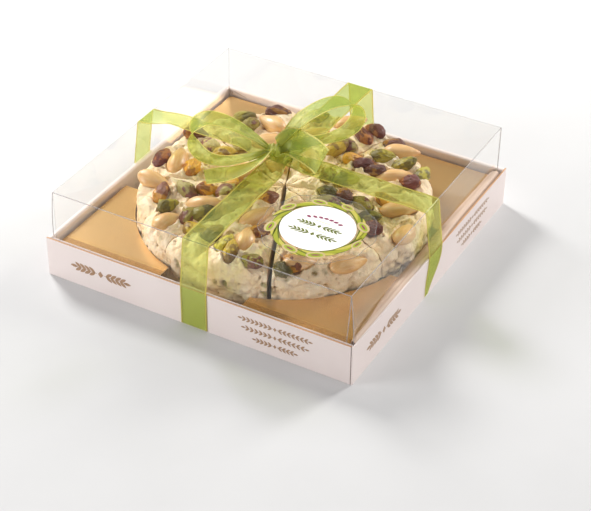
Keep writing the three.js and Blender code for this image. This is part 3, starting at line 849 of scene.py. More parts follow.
def cake_top(x, y):
    folds = (np.sin(0.16 * x + 0.9) * np.cos(0.13 * y - 0.5)
             + 0.6 * np.sin(0.31 * x - 0.22 * y + 2)
             + 0.4 * np.cos(0.29 * x + 0.47 * y))
    return CAKE["top"] + CAKE["lump"] * folds / 2


def rim_drop(x, y):
    corner = CAKE["corner"]
    over = max(math.hypot(x - CAKE["centre"][0], y - CAKE["centre"][1]) - (CAKE["radius"] - corner), 0)
    return corner - math.sqrt(corner**2 - min(over, corner) ** 2)


def cut_pair(index):
    start = math.radians(CUTS[index][0])
    after = (index + 1) % len(CUTS)
    end = math.radians(CUTS[after][0])
    while end < start:
        end += TAU
    return start, end, CUTS[index][1], CUTS[after][1]


def wedge_of(nut):
    angle = math.atan2(nut[1] - CAKE["centre"][1], nut[0] - CAKE["centre"][0])
    for index in range(len(CUTS)):
        start, end = cut_pair(index)[:2]
        if start <= angle < end or start <= angle + TAU < end:
            return index
    return None


def laid(size, nut, seed):
    """The turn and the place of a nut on the nougat."""
    tilt = size["lean"] * (draw(seed) - 0.5)
    roll = KERNEL["roll"] * (draw(seed + 77) - 0.5)
    turn = Matrix.Rotation(math.radians(nut[2]), 3, "Z")
    turn = turn @ Matrix.Rotation(tilt, 3, "Y") @ Matrix.Rotation(roll, 3, "X")
    height = float(cake_top(nut[0], nut[1])) + size["rise"] - rim_drop(nut[0], nut[1])
    return np.array(turn), np.array([nut[0], nut[1], height])


def ball_mesh(rings, sides):
    """Unit directions over a ball in rings about x, and the faces that close it at two more points."""
    polar = np.linspace(0, math.pi, rings + 1)[1:-1, None]
    turn = np.arange(sides) * TAU / sides
    girth = np.sin(polar)
    ball = np.stack([np.cos(polar) + 0 * turn, girth * np.cos(turn), girth * np.sin(turn)], axis=-1)
    count = (rings - 1) * sides
    faces = grid_faces(rings - 1, sides, wrap_columns=True, flip=True)
    for j in range(sides):
        j2 = (j + 1) % sides
        faces += [[count, j, j2], [count + 1, count - sides + j2, count - sides + j]]
    return ball, faces


def facets(ball, seed):
    """How far out a softly faceted stone reaches in each direction."""
    count, sharpness = 9, 14
    total = np.zeros(ball.shape[:-1])
    for k in range(count):
        height = 1 - 2 * (k + 0.5) / count
        girth = math.sqrt(1 - height**2)
        normal = np.array([height, *(girth * circle(k * GOLDEN_ANGLE + TAU * draw(seed)))])
        shift = np.array([draw(seed + k + step) - 0.5 for step in (0, 50, 90)])
        depth = 0.76 + 0.2 * draw(seed + k + 7)
        total += np.maximum(ball @ unit(normal + 0.5 * shift) / depth, 0) ** sharpness
    return np.minimum(total ** (-1 / sharpness), 1.12)


def kernel_mesh(size, rings, sides, seed, wrinkle, stone):
    """A nut about the origin, long axis along x: its points and its faces."""
    ball, faces = ball_mesh(rings, sides)
    t = ball[..., 0]
    uneven = 1 + wrinkle * fractal(ball * np.array([1.2, 3.4, 3.4]) + seed, 3, seed)
    uneven += 0.04 * value_noise(ball * 1.3 + seed, seed + 5)
    uneven += 0.4 * wrinkle * value_noise(ball * np.array([0.9, 8, 8]) + seed, seed + 8)
    uneven *= 1 + stone * (facets(ball, seed) - 1)
    uneven *= 1 - size["point"] * t - KERNEL["belly"] * t * t
    stretch = np.where(t > 0, 1 + KERNEL["tip"] * t * t, 1)
    points = np.stack([t * stretch, ball[..., 1] * uneven, ball[..., 2] * uneven], axis=-1).reshape(-1, 3)
    ends = [(1 + KERNEL["tip"]) * RIGHT, -RIGHT]
    scale = np.array([size["length"] / (1 + KERNEL["tip"] / 2), size["width"], size["thickness"]]) / 2
    return np.concatenate([points, ends]) * scale, faces


def make_almonds(almonds, material):
    for n, nut in enumerate(almonds):
        points, faces = kernel_mesh(ALMOND, 26, 30, n * 3.7, 0.05, 0.25)
        turn, place = laid(ALMOND, nut, n)
        name = f"almond_{n + 1:02d}"
        points = points * np.array([1, ALMOND["slim"], 1])
        piece("blanched_" + name, points @ turn.T + place, faces, material, "almond", [name], 60, {
            "local": points + 40 * n,
            "local_end": points[:, 0] / (ALMOND["length"] / 2),
        })


def kernel_tint(points, sort, n):
    """The colour at each point of a kernel, with a skin that covers part of its flesh."""
    flesh, skin, cover = KERNEL_SORTS[sort]
    end = points[:, 0] / PISTACHIO["length"] * 2 * (1 if draw(n + 61) > 0.5 else -1)
    patches = fractal(points / 4.0 + n * 3.1, 3, n) + 0.45 * end
    share = smooth_step(patches, 0.45 - 1.1 * cover, 0.53 - 1.1 * cover)[:, None]
    tint = (colour(flesh) * (1 - share) + colour(skin) * share) * (0.95 + 0.3 * draw(n + 31))
    return np.concatenate([tint, np.ones((len(tint), 1))], axis=1)


def make_pistachios(pistachios, material):
    """One piece for each wedge's kernels."""
    for index in range(len(CUTS)):
        placed, faces, tints, local = [], [], [], []
        for n, nut in enumerate(pistachios):
            if wedge_of(nut) != index:
                continue
            points, kernel_faces = kernel_mesh(PISTACHIO, 40, 44, n * 5.3 + 9, 0.26, 0.6)
            turn, place = laid(PISTACHIO, nut, n + 900)
            first = len(placed) * len(points)
            faces += [[first + k for k in face] for face in kernel_faces]
            placed.append(points @ turn.T + place)
            tints.append(kernel_tint(points, nut[3], n))
            local.append(points + 40 * n)
        piece(f"pistachios_{index + 1}", np.concatenate(placed), faces, material, "pistachio", (), 60, {
            "tint": np.concatenate(tints),
            "local": np.concatenate(local),
        })


# ---------------------------------------------------------------- nougat

# Folded lumps of nougat between the nuts: x, y, half length, half width, direction and height.
LUMPS = [
    (-2, -27, 11, 8, 70, 3.2), (43, 40, 9, 6, 20, 3.0), (-62, -28, 14, 5, 15, 2.6), (-44, -8, 16, 5, 25, 2.4),
    (-12, 52, 9, 7, 120, 2.8), (30, 20, 10, 6, 60, 2.6), (-20, 14, 10, 7, 10, 2.6), (56, -30, 9, 7, 140, 2.2),
    (70, 28, 8, 6, 100, 2.6), (-8, 76, 10, 6, 0, 2.0), (-58, 30, 9, 7, 60, 2.8), (20, -22, 9, 6, 40, 2.2),
    (-12, -74, 10, 6, 10, 1.8), (26, -62, 8, 5, 80, 2.0), (76, -34, 7, 6, 60, 2.0), (0, 22, 9, 6, 150, 2.6),
]
# Creases in the nougat: each layer's height, the width of its swells, its seed and the level taken as none.
TOP_CREASES = [(3.4, 11.0, 3.0, 0.4), (1.1, 4.5, 12.0, 0.4)]
SIDE_CREASES = [(2.6, 11.5, 21.0, 0.42), (0.9, 4.2, 30.0, 0.4)]


def nut_distance(x, y, size, nut):
    """How far a point is from a nut's middle, as a share of the nut's outline."""
    turn = math.radians(nut[2])
    dx, dy = x - nut[0], y - nut[1]
    u = (dx * math.cos(turn) + dy * math.sin(turn)) / (size["length"] / 2)
    v = (dy * math.cos(turn) - dx * math.sin(turn)) / (size["width"] / 2)
    return np.hypot(u, v)


def creased(points, layers):
    """Rounded swells with sharp creases between them."""
    total = np.zeros(points.shape[:-1])
    for height, width, seed, level in layers:
        bent = points / width + 0.35 * value_noise(points[..., ::-1] / (0.7 * width), seed + 9)[..., None]
        total += height * (np.abs(value_noise(bent, seed)) ** 0.7 - level)
    return total


def top_relief(x, y, nuts):
    """What the folds, the lumps and the lips round the nuts add to the height of the top."""
    rise = np.zeros_like(x)
    for lx, ly, long, wide, angle, high in LUMPS:
        bulge = nut_distance(x, y, {"length": 2 * long, "width": 2 * wide}, (lx, ly, angle))
        rise += high * (1 - smooth_step(bulge, 0.3, 1.1))
    plan = np.stack([x, y, np.zeros_like(x)], axis=-1)
    rise += creased(plan, TOP_CREASES)
    rise += 0.8 * fractal(plan / 3.2, 3, 5.0)
    for size, nut in nuts:
        near = nut_distance(x, y, size, nut)
        rise += 1.1 * np.exp(-((near - 1.1) / 0.15) ** 2)
        rise = np.where(near < 0.95, np.minimum(rise, 0.4), rise)
    return rise


def nougat_skin(grid, upper):
    """How far the nougat swells at each point, and how much of a pit and of an olive smear is there."""
    rough = smooth_step(value_noise(grid / 13.0, 61.0), -0.1, 0.4)
    pits = smooth_step(value_noise(grid / 2.6, 40.0) + 0.3 * rough, 0.62, 0.9)
    streaks = value_noise(grid / 9.0, 51.0) + 0.4 * value_noise(grid / 3.0, 52.0)
    smear = smooth_step(streaks, 0.45, 0.8) * (1 - 0.75 * upper)
    swell = creased(grid, SIDE_CREASES) + (0.3 + 0.9 * rough) * fractal(grid / 2.4, 3, 33.0)
    return swell * (1 - 0.6 * upper) - 0.7 * pits - 1.2 * smear, pits, smear


def wedge_rays(angles, tip):
    """Rays from a wedge's tip over its top and down its side: how far out and how high each point is."""
    flat_steps, round_steps, side_steps = 118, 22, 56
    corner, base, top, tuck = (CAKE[k] for k in ("corner", "base", "top", "tuck"))
    along = circle(angles) @ tip
    outline = CAKE["radius"] + CAKE["wobble"] * (np.sin(5 * angles + 1) + 0.6 * np.sin(9 * angles + 2)) / 1.6
    reach = (np.sqrt(along**2 - tip @ tip + outline**2) - along)[:, None]
    flat = np.linspace(0.012, 1, flat_steps)[None, :] * (reach - corner)
    arc = np.radians(90 - 90 * np.arange(1, round_steps + 1) / round_steps)[None, :]
    down = np.linspace(0, 1, side_steps + 1)[None, 1:]
    side_height = (top - corner) * (1 - down) + base * down
    side_pull = tuck * np.clip(1 - (side_height - base) / (2 * CAKE["foot_height"]), 0, 1) ** 2
    radius = np.concatenate([flat, reach - corner + corner * np.cos(arc), reach - side_pull], axis=1)
    height = np.concatenate([
        np.full_like(flat, top),
        np.broadcast_to(top - corner + corner * np.sin(arc), (len(angles), round_steps)),
        np.broadcast_to(side_height, (len(angles), side_steps)),
    ], axis=1)
    return radius, height


def wedge_faces(rows, columns):
    """A wedge's skin, its underside and its two cut faces, with the two points of its tip first."""
    faces = grid_faces(rows, columns, first=2, flip=True)
    for i in range(rows - 1):
        here, there = 2 + i * columns, 2 + (i + 1) * columns
        faces += [[0, here, there], [1, there + columns - 1, here + columns - 1]]
    first, last = 2, 2 + (rows - 1) * columns
    faces += [[1, first, 0], [1, 0, last]]
    faces += [[1, first + j + 1, first + j] for j in range(columns - 1)]
    faces += [[1, last + j, last + j + 1] for j in range(columns - 1)]
    return faces


def make_wedge(index, nuts, material):
    start, end, from_width, to_width = cut_pair(index)
    base, top = CAKE["base"], CAKE["top"]
    tip = (from_width * circle(end) + to_width * circle(start)) / 2 / math.sin(end - start)
    angles = start + (end - start) * (0.5 - 0.5 * np.cos(np.linspace(0, np.pi, 129)))
    radius, height = wedge_rays(angles, tip)
    middle = CAKE["centre"] + tip
    x, y = np.moveaxis(middle + radius[..., None] * circle(angles)[:, None], -1, 0)
    near_start = radius * np.sin(angles - start)[:, None]
    near_end = radius * np.sin(end - angles)[:, None]
    near = np.maximum(np.minimum(near_start, near_end), 0)
    share = (height - base) / (top - base)
    free = smooth_step(near, 0, 3.5)
    lift = cake_top(x, y) - CAKE["cut_rounding"] * np.exp(-near / CAKE["cut_reach"]) - top
    upper = smooth_step(height, top - CAKE["corner"], top)
    relief = top_relief(x, y, nuts) * upper
    z = height + share * lift + relief * (0.35 + 0.65 * smooth_step(near, 0, 4))
    grid = np.stack([x, y, z], axis=-1)
    normals = -grid_normals(grid)
    swell, pits, smear = nougat_skin(grid, upper)
    shift = normals * swell[..., None]
    cut_normal = np.where(
        (near_start < near_end)[..., None],
        np.array([-math.sin(start), math.cos(start), 0]),
        np.array([math.sin(end), -math.cos(end), 0]),
    )
    inward = np.sum(shift * cut_normal, axis=-1)
    shift -= cut_normal * (np.where(inward < 0, inward, inward * 0.5) * (1 - free))[..., None]
    foot = smooth_step(height, base, base + 3)
    grid = grid + shift * foot[..., None]
    ends = [[*middle, grid[:, 0, 2].mean()], [*middle, base]]
    points = np.concatenate([ends, grid.reshape(-1, 3)])
    # Painted shade: how much the skin is darkened where it dips and in its pits.
    painted_hollow_shade = np.clip(0.55 * pits + 0.6 * smooth_step(-swell, 0.3, 1.5), 0, 1)
    faces = wedge_faces(*grid.shape[:2])
    piece(f"nougat_{index + 1}", points, faces, material, "nougat", [f"nougat_wedge_{index + 1}"], 50, {
        "smear": np.pad(smear.ravel(), (len(ends), 0)),
        "painted_hollow_shade": np.pad(painted_hollow_shade.ravel(), (len(ends), 0)),
    })


# ---------------------------------------------------------------- film lid and sticker


# The film's thickness, its edges' radius, the top's sag, and how far the front panel leaves its corner.
FILM = {"thickness": 0.3, "bead": 0.3, "sag": 0.5, "gap": 2.4}


def film_panel(name, corners, material, edge, bulge, push):
    """A hanging film panel between four corners: top left, top right, bottom right, bottom left."""
    rows, columns = 21, 41
    top_left, top_right, bottom_right, bottom_left = np.array(corners, float)
    v, u = np.meshgrid(np.linspace(0, 1, rows), np.linspace(0, 1, columns), indexing="ij")
    u, v = u[..., None], v[..., None]
    grid = (top_left * (1 - u) + top_right * u) * (1 - v) + (bottom_left * (1 - u) + bottom_right * u) * v
    outward = unit(np.cross(top_right - top_left, bottom_left - top_left))
    grid = grid + outward * bulge * np.sin(np.pi * v) * np.sin(np.pi * u) ** 0.5
    if push:
        grid = grid + RIGHT * push(u, v)
    piece(name, *shell(grid, FILM["thickness"]), material, "clear_film", ["lid"], 60)
    bead(name + "_edge", np.concatenate([grid[:, 0], grid[-1, 1:], grid[::-1, -1][1:]]), FILM["bead"], edge)


def bead(name, path, radius, material, closed=False):
    """A thin round bead along a path."""
    sides = 6
    if closed:
        along = unit(np.roll(path, -1, axis=0) - np.roll(path, 1, axis=0))
    else:
        along = unit(np.gradient(path, axis=0))
    first = unit(np.cross(along, np.where(np.abs(along[:, 2:]) > 0.9, RIGHT, UP)))
    turn = circle(np.arange(sides) * TAU / sides)
    ring = first[:, None] * turn[:, :1] + np.cross(along, first)[:, None] * turn[:, 1:]
    faces = grid_faces(len(path), sides, wrap_rows=closed, wrap_columns=True, flip=True)
    if not closed:
        faces += [list(range(sides)), [(len(path) - 1) * sides + k for k in reversed(range(sides))]]
    piece(name, path[:, None] + radius * ring, faces, material, "clear_film", (), 60)


def draw_in(u, v):
    """How the front panel leaves the right corner, and bulges out at the left one."""
    return -FILM["gap"] * np.clip(v * 1.5, 0, 1) ** 1.2 * u**10 - 2.0 * np.sin(np.pi * v) * (1 - u) ** 12


def swell_out(u, v):
    """How the right panel bulges at its front end."""
    return 2.2 * np.sin(np.pi * v * 0.85) * (1 - u) ** 16


def make_lid(film, edge, faint, flange_reflection):
    half = HALF_LID
    line = np.linspace(-half, half, 61)
    y, x = np.meshgrid(line, line, indexing="ij")
    dome = np.cos(np.pi * x / 2 / half) * np.cos(np.pi * y / 2 / half)
    ripple = 0.12 * value_noise(np.stack([x / 30, y / 30, 0 * x], axis=-1), 4.0)
    grid = np.stack([x, y, LID_TOP - 0.15 + (ripple - FILM["sag"]) * dome], axis=-1)
    piece("film_top", *shell(grid, FILM["thickness"]), film, "clear_film", ["lid"], 60)
    square = half * np.array([(-1, -1), (1, -1), (1, 1), (-1, 1)])
    share = np.arange(31)[:, None] / 30
    for name, (a, b, c), line in (("near", (0, 1, 2), edge), ("far", (2, 3, 0), faint)):
        runs = [square[i] + (square[j] - square[i]) * share for i, j in ((a, b), (b, c))]
        rim = np.pad(np.concatenate(runs), ((0, 0), (0, 1)), constant_values=LID_TOP - 0.2)
        bead("film_top_edge_" + name, rim, FILM["bead"], line)
    for name, a, b, bulge, push, line in (
        ("film_front", 0, 1, 0.5, draw_in, edge),
        ("film_right", 1, 2, 0.15, swell_out, edge),
        ("film_back", 2, 3, 0.4, None, faint),
        ("film_left", 3, 0, 0.4, None, faint),
    ):
        ends = ((a, LID_TOP - 0.3), (b, LID_TOP - 0.3), (b, LID_LOW[2]), (a, LID_LOW[2]))
        film_panel(name, [(*square[k], height) for k, height in ends], film, line, bulge, push)
    low, high = CARD_LOW[0], CARD_HIGH[0]
    over = CARD_HIGH[2] + 0.25
    front = 0.5 - half
    # A darker gold half clear band at the film's foot over the front cards: painted reflection of the shaded
    # front wall in the film's lower part.
    slabs("film_flange_reflection", [
        (-high, -low, front, front + 6.5, over, over + 0.15),
        (low, high, front, front + 6.5, over, over + 0.15),
    ], flange_reflection, "clear_film", ["lid"], 0.02)


# The sticker: its white middle as a share of the disc, its carrier's reach and height, the paper's height,
# and how many leaves and nuts go round it.
LABEL = {"inner": 0.74, "carrier_reach": 4.6, "carrier": 0.06, "paper": 0.16, "blades": 16, "nuts": 8}


def blade(radius, start, sweep, drift, width):
    """A slim leaf that follows the wreath's ring and drifts outwards."""
    share = np.linspace(0, 1, 16)
    directions = circle(start + sweep * share)
    middle = radius + drift * share
    half = width / 2 * np.sin(np.pi * share) ** 0.7
    inner = directions * (middle - half)[:, None]
    return np.concatenate([directions * (middle + half)[:, None], inner[-2:0:-1]])


def add_wreath(layers, inner, band):
    """A ring of dark leaves, each with a lighter one on it."""
    for k in range(LABEL["blades"]):
        start = k * TAU / LABEL["blades"] + 0.12 * draw(k)
        radius = inner + band * (0.12 + 0.22 * draw(k + 20))
        sweep = 0.75 + 0.25 * draw(k + 40)
        drift = band * (0.45 + 0.35 * draw(k + 60))
        low = 0.12 + 0.02 * (k % 3)
        layers["leaf_dark"].append((blade(radius, start, sweep, drift, 3.8), low, low + 0.03))
        light = blade(radius + 0.25, start + 0.03, sweep * 0.92, drift, 2.5)
        layers["leaf_light" if k % 2 else "leaf_gold"].append((light, low + 0.04, low + 0.07))


def add_nuts(layers, outer):
    """Open nuts round the sticker: a shell, its kernel and a dark slit."""
    for k in range(LABEL["nuts"]):
        turn = (k + 0.5 + 0.5 * draw(k + 70)) * TAU / LABEL["nuts"]
        spot = (outer - 1.6 - 2.2 * draw(k + 75)) * circle(turn)
        lean = turn + 1.1 + 1.1 * draw(k + 80)
        oval = disc_outline(1, 28) * np.array([4.9, 3.0]) * (0.8 + 0.3 * draw(k + 90))
        for key, size, low, high in (
            ("shell", (1, 1), 0.24, 0.28),
            ("kernel", (0.8, 0.55), 0.29, 0.32),
            ("plum_ink", (0.5, 0.17), 0.33, 0.35),
        ):
            layers[key].append((turned(oval * np.array(size), lean, spot), low, high))


def add_sprays(layers):
    """Two sprigs, an arch of petals and two thin rules in the sticker's middle."""
    low, high = LABEL["paper"], LABEL["paper"] + 0.04
    for height, length, leaf in ((1.6, 25, 3.4), (-6.4, 27, 3.6)):
        for outline in spray(length, 4, leaf, 1.15):
            layers["leaf_dark"].append((outline + (0, height), low, high))
    for k in range(-3, 4):
        petal = turned(leaf_outline(3.2, 1.8), 0.12 * k, (k * 3.2 - 1.6, 10 - 0.22 * k * k))
        layers["plum_ink"].append((petal, low, high))
    for height, length in ((6.0, 9), (-2.4, 13)):
        rule = np.array([(-1, -1), (1, -1), (1, 1), (-1, 1)]) * (length / 2, 0.15) + (0, height)
        layers["leaf_gold"].append((rule, low, high - 0.01))


def make_label(materials):
    centre = (LABEL_LOW[:2] + LABEL_HIGH[:2]) / 2
    outer = (LABEL_HIGH[0] - LABEL_LOW[0]) / 2
    inner = outer * LABEL["inner"]
    base, film, paper = LABEL_LOW[2], LABEL["carrier"], LABEL["paper"]

    def place(u, v, z):
        return centre[0] + u, centre[1] + v, base + z

    angle = np.arange(96) * TAU / 96
    wavy = (outer + LABEL["carrier_reach"] + 0.8 * np.sin(11 * angle))[:, None] * circle(angle)
    flat_shapes("sticker_carrier", [(wavy, 0.0, film)], place, materials["carrier"], "clear_film", ["label"])
    rim = np.pad(wavy + centre, ((0, 0), (0, 1)), constant_values=base + film)
    bead("sticker_rim", rim, 0.13, materials["edge"], closed=True)
    disc = [(disc_outline(inner + 0.6), film, paper)]
    flat_shapes("sticker_disc", disc, place, materials["paper"], "label_paper", ["label"])
    layers = {key: [] for key in ("leaf_dark", "leaf_light", "leaf_gold", "shell", "kernel", "plum_ink")}
    add_wreath(layers, inner, outer - inner)
    add_nuts(layers, outer)
    add_sprays(layers)
    for key, shapes in layers.items():
        flat_shapes("sticker_" + key, shapes, place, materials[key], "label_paper", ["label"])


# ---------------------------------------------------------------- ribbon and bow

ACROSS = np.array([-1, -0.965, -0.93, -0.9, -0.75, -0.5, -0.25, 0, 0.25, 0.5, 0.75, 0.9, 0.93, 0.965, 1])


def rounded(route, radius, step):
    """A closed route of corners as points about a step apart, with each corner rounded."""
    def leaving(corner, other):
        gap = other - corner
        return corner + unit(gap) * min(radius, np.linalg.norm(gap) * 0.45)

    points = []
    for before, here, after in zip(np.roll(route, 1, axis=0), route, np.roll(route, -1, axis=0)):
        start, end = leaving(here, before), leaving(here, after)
        for s in np.linspace(0, 1, 5):
            points.append(start * (1 - s) ** 2 + here * 2 * s * (1 - s) + end * s**2)
        run = leaving(after, here) - end
        extra = int(np.linalg.norm(run) / step)
        points += [end + run * s for s in np.arange(1, extra) / max(extra, 1)]
    return np.array(points)


def lengths_along(points):
    gaps = np.linalg.norm(np.diff(points, axis=0), axis=1)
    return np.concatenate([[0], np.cumsum(gaps)])


def cloth(name, grid, along, gather, material, nodes, wrap=False):
    """A ribbon sheet from its grid."""
    points, faces = shell(grid, RIBBON["sheet"], wrap)
    fields = {"across": ACROSS, "along": along[:, None], "gather": gather[:, None]}
    for key, values in fields.items():
        fields[key] = np.tile(np.broadcast_to(values, grid.shape[:2]).ravel(), 2)
    made = piece(name, points, faces, material, "organza", nodes, 60, fields)


# The bands' rounded corners and point spacing, how they gather and pleat under the knot, and their waves,
# which start and end over a run from the knot and from the lid's edge.
# Near the right wall's foot the side-to-side band narrows and slides, and left of the knot it stands up.
BAND = {
    "corner": 1.2,
    "step": 2.2,
    "middle": 13,
    "gathered": 0.28,
    "pleat": 0.9,
    "wave": 0.45,
    "knot_run": (14, 26),
    "edge_run": (3, 14),
}
SLIDE = {"reach": 14, "narrow": 0.8, "shift": 9.5}
FOLD = {"start": (8, 30), "end": (74, 93), "narrow": 0.2, "shift": 1.2, "rise": 2.6}


def band_path(lift, underside):
    """A band's closed course round the pack: its points from side to side and in height."""
    over = LID_TOP + RIBBON["clearance"] + RIBBON["thickness"] / 2
    out = HALF_TRAY + RIBBON["clearance"] + RIBBON["thickness"] / 2
    bend, fold = RIBBON["lid_bend"], RIBBON["foot_fold"]
    half = [
        (HALF_LID, over),
        (HALF_LID + bend, over - bend),
        (out, RIM + RIBBON["thickness"]),
        (out, underside + fold),
        (out - fold, underside),
    ]
    if lift:
        half = [(RIBBON["half"], over + lift), (RIBBON["half"] + RIBBON["ramp"], over)] + half
    route = [np.array([-u, z]) for u, z in half] + [np.array([u, z]) for u, z in reversed(half)]
    return rounded(route[::-1], BAND["corner"], BAND["step"])


def make_band(name, node, lift, underside, turn, material):
    path = band_path(lift, underside)
    across, height = path[:, :1], path[:, 1:]
    away = np.abs(across)
    on_top = smooth_step(height, LID_TOP - 1, LID_TOP)
    middle = np.exp(-(across / BAND["middle"]) ** 4) * on_top
    from_knot = smooth_step(away, *BAND["knot_run"])
    from_edge = smooth_step(HALF_LID - away, *BAND["edge_run"])
    loose = on_top * from_knot * from_edge
    wave = BAND["wave"] * np.sin(across / 5.0 + 2.6 * ACROSS) * loose
    pleat = BAND["pleat"] * middle * (1 + np.sin(9 * ACROSS + 0.12 * across))
    grid = np.stack([
        across + 0 * wave,
        RIBBON["width"] / 2 * (1 - BAND["gathered"] * middle) * ACROSS,
        height + np.maximum(wave, 0) + pleat,
    ], axis=-1)
    if turn:
        grid = grid[..., [1, 0, 2]] * np.array([-1, 1, 1])
    else:
        below = smooth_step(RIM - height, 0, RIM) * smooth_step(across, HALF_TRAY - SLIDE["reach"], HALF_TRAY)
        grid[..., 1] = grid[..., 1] * (1 - SLIDE["narrow"] * below**2) - SLIDE["shift"] * below**1.4
        raised = smooth_step(-across, *FOLD["start"]) * (1 - smooth_step(-across, *FOLD["end"])) * on_top
        grid[..., 1] = grid[..., 1] * (1 - FOLD["narrow"] * raised) + FOLD["shift"] * raised
        grid[..., 2] += FOLD["rise"] * raised
    along = lengths_along(np.concatenate([path, path[:1]]))[:-1]
    cloth(name, grid, along, 0.6 * middle[:, 0], material, [node], wrap=True)


def strip_grid(centres, across, halves, waves):
    """Rows across a ribbon: centre line, direction across, half widths and how far each point is raised."""
    along = unit(np.gradient(centres, axis=0))
    across = unit(across - along * np.sum(across * along, axis=1, keepdims=True))
    up = np.cross(along, across)
    s = ACROSS[None, :, None]
    return centres[:, None] + across[:, None] * halves[:, None, None] * s + up[:, None] * waves[..., None]


# A loop leaves the knot as an upper strand and comes back as a lower one, open towards the front.
# Its plane leans back, and the band tilts by an angle of its own on each strand and at the end.
LOOPS = {
    "bow_loop_left": {
        "direction": 206, "length": 47.5, "height": 24.4, "lean": 31, "lift": 1.2, "rise": 6.3,
        "tilts": (-6, 18, -12), "phase": 0.4,
    },
    "bow_loop_right": {
        "direction": 55, "length": 53, "height": 20.3, "lean": 44, "lift": 6, "rise": 7,
        "tilts": (-9.5, -6, -14), "phase": 2.1,
    },
}


def loop_tilt(t, upper, end, lower):
    first, last = BOW["turn_shares"]
    share = np.clip((t - first) / (last - first), 0, 1)
    bell = np.exp(-((t - 0.5) / BOW["end_share"]) ** 2)
    return lower + (upper - lower) * (1 + np.cos(np.pi * share)) / 2 + (end - (upper + lower) / 2) * bell


def make_loop(name, loop, material):
    t = np.linspace(0, 1, 121)
    heading, lean = math.radians(loop["direction"]), math.radians(loop["lean"])
    ahead = np.array([math.cos(heading), math.sin(heading), 0])
    side = np.array([-ahead[1], ahead[0], 0])
    front = side if side[1] < 0 else -side
    over = UP * math.cos(lean) - front * math.sin(lean)
    bulge = np.sin(np.pi * t).clip(0)
    out = bulge ** BOW["reach_power"]
    swing = np.sin(TAU * t) * bulge ** BOW["swing_power"]
    spread_open = np.sin(np.pi / 2 * np.minimum(1, 2.4 * out))
    reach = BOW["root_reach"]
    centres = (BOW["knot"]
               + ahead * (reach + (loop["length"] - reach) * out)[:, None]
               + over * (loop["height"] / 2 * swing + BOW["root_gap"] * np.cos(np.pi * t))[:, None]
               + UP * (loop["lift"] * spread_open + loop["rise"] * out)[:, None])
    tilt = np.radians(loop_tilt(t, *loop["tilts"]))[:, None]
    across = front * np.cos(tilt) - UP * np.sin(tilt)
    share = BOW["root_width"] + (1 - BOW["root_width"]) * spread_open
    tight = 1 - smooth_step(out, 0.0, 0.62)
    pleats = 1.1 * tight[:, None] * np.sin(8.5 * ACROSS[None, :] + loop["phase"] + 2.0 * t[:, None])
    wave = 0.5 * np.sin(3 * ACROSS[None, :] + 11 * t[:, None] + loop["phase"]) * (1 - tight)[:, None]
    grid = strip_grid(centres, across, RIBBON["width"] / 2 * share, pleats + wave)
    cloth(name, grid, lengths_along(centres), tight**2, material, ["bow"])


def curve_through(points, t):
    """A smooth curve through points, evenly spread over t from 0 to 1."""
    points = np.asarray(points, float)
    padded = np.concatenate([[2 * points[0] - points[1]], points, [2 * points[-1] - points[-2]]])
    place = np.clip(t, 0, 1) * (len(points) - 1)
    k = np.minimum(place.astype(int), len(points) - 2)
    s = (place - k)[:, None]
    p0, p1, p2, p3 = (padded[k + j] for j in range(4))
    return 0.5 * (2 * p1 + (p2 - p0) * s + (2 * p0 - 5 * p1 + 4 * p2 - p3) * s**2
                  + (3 * p1 - p0 - 3 * p2 + p3) * s**3)


TAILS = {
    "bow_tail_left": (
        [(-5, -6, 63), (-8.5, -18, 61.8), (-14, -29.5, 60.6), (-20, -37.2, 59.8), (-27, -43, 59)],
        [(0.6, -0.2, 0.75), (0.75, -0.45, 0.5), (0.7, -0.6, 0.25), (0.55, -0.8, 0.1), (0.42, -0.9, 0.05)],
    ),
    "bow_tail_right": (
        [(-3, -2, 66), (4, 2, 68.5), (12, 1, 68), (20.5, -0.8, 66.8), (28, -4.5, 65.8)],
        [(0.5, 0.45, 0.6), (0.4, 0.6, 0.65), (0.15, 0.62, 0.75), (-0.05, 0.62, 0.78), (-0.12, 0.6, 0.79)],
    ),
}


def make_tail(name, route, turns, phase, material):
    t = np.linspace(0, 1, 49)
    centres = curve_through(route, t)
    across = curve_through(turns, t)
    halves = RIBBON["width"] / 2 * np.minimum(1, BOW["tail_width"] + 2 * t)
    tight = 1 - smooth_step(t, 0, 0.4)
    waves = (0.55 * tight[:, None] * np.sin(9 * ACROSS[None, :] + phase)
             + 0.6 * np.sin(2.2 * ACROSS[None, :] + 5 * t[:, None] + phase) * (1 - tight)[:, None])
    grid = strip_grid(centres, across, halves, waves)
    cloth(name, grid, lengths_along(centres), 0.7 * tight, material, ["bow"])


def make_knot(material):
    """The wrap that gathers the bow: a squashed ring of pleats."""
    ball, faces = ball_mesh(36, 72)
    t = ball[..., 0]
    turn = np.arctan2(ball[..., 2], ball[..., 1])
    pleats = 1 + 0.09 * np.sin(11.2 * np.arccos(t) + 2 * np.sin(turn)) - 0.12 * np.exp(-(t / 0.35) ** 2)
    ring = np.stack([t, ball[..., 1] * pleats, ball[..., 2] * pleats], axis=-1)
    points = np.concatenate([ring.reshape(-1, 3), [RIGHT, -RIGHT]]) * BOW["knot_radii"]
    heading = np.array(Matrix.Rotation(math.radians(BOW["knot_heading"]), 3, "Z"))
    piece("bow_knot", points @ heading.T + BOW["knot"], faces, material, "organza", ["bow"], 60, {
        "across": np.zeros(len(points)),
        "along": points[:, 0],
        "gather": np.full(len(points), 0.7),
    })


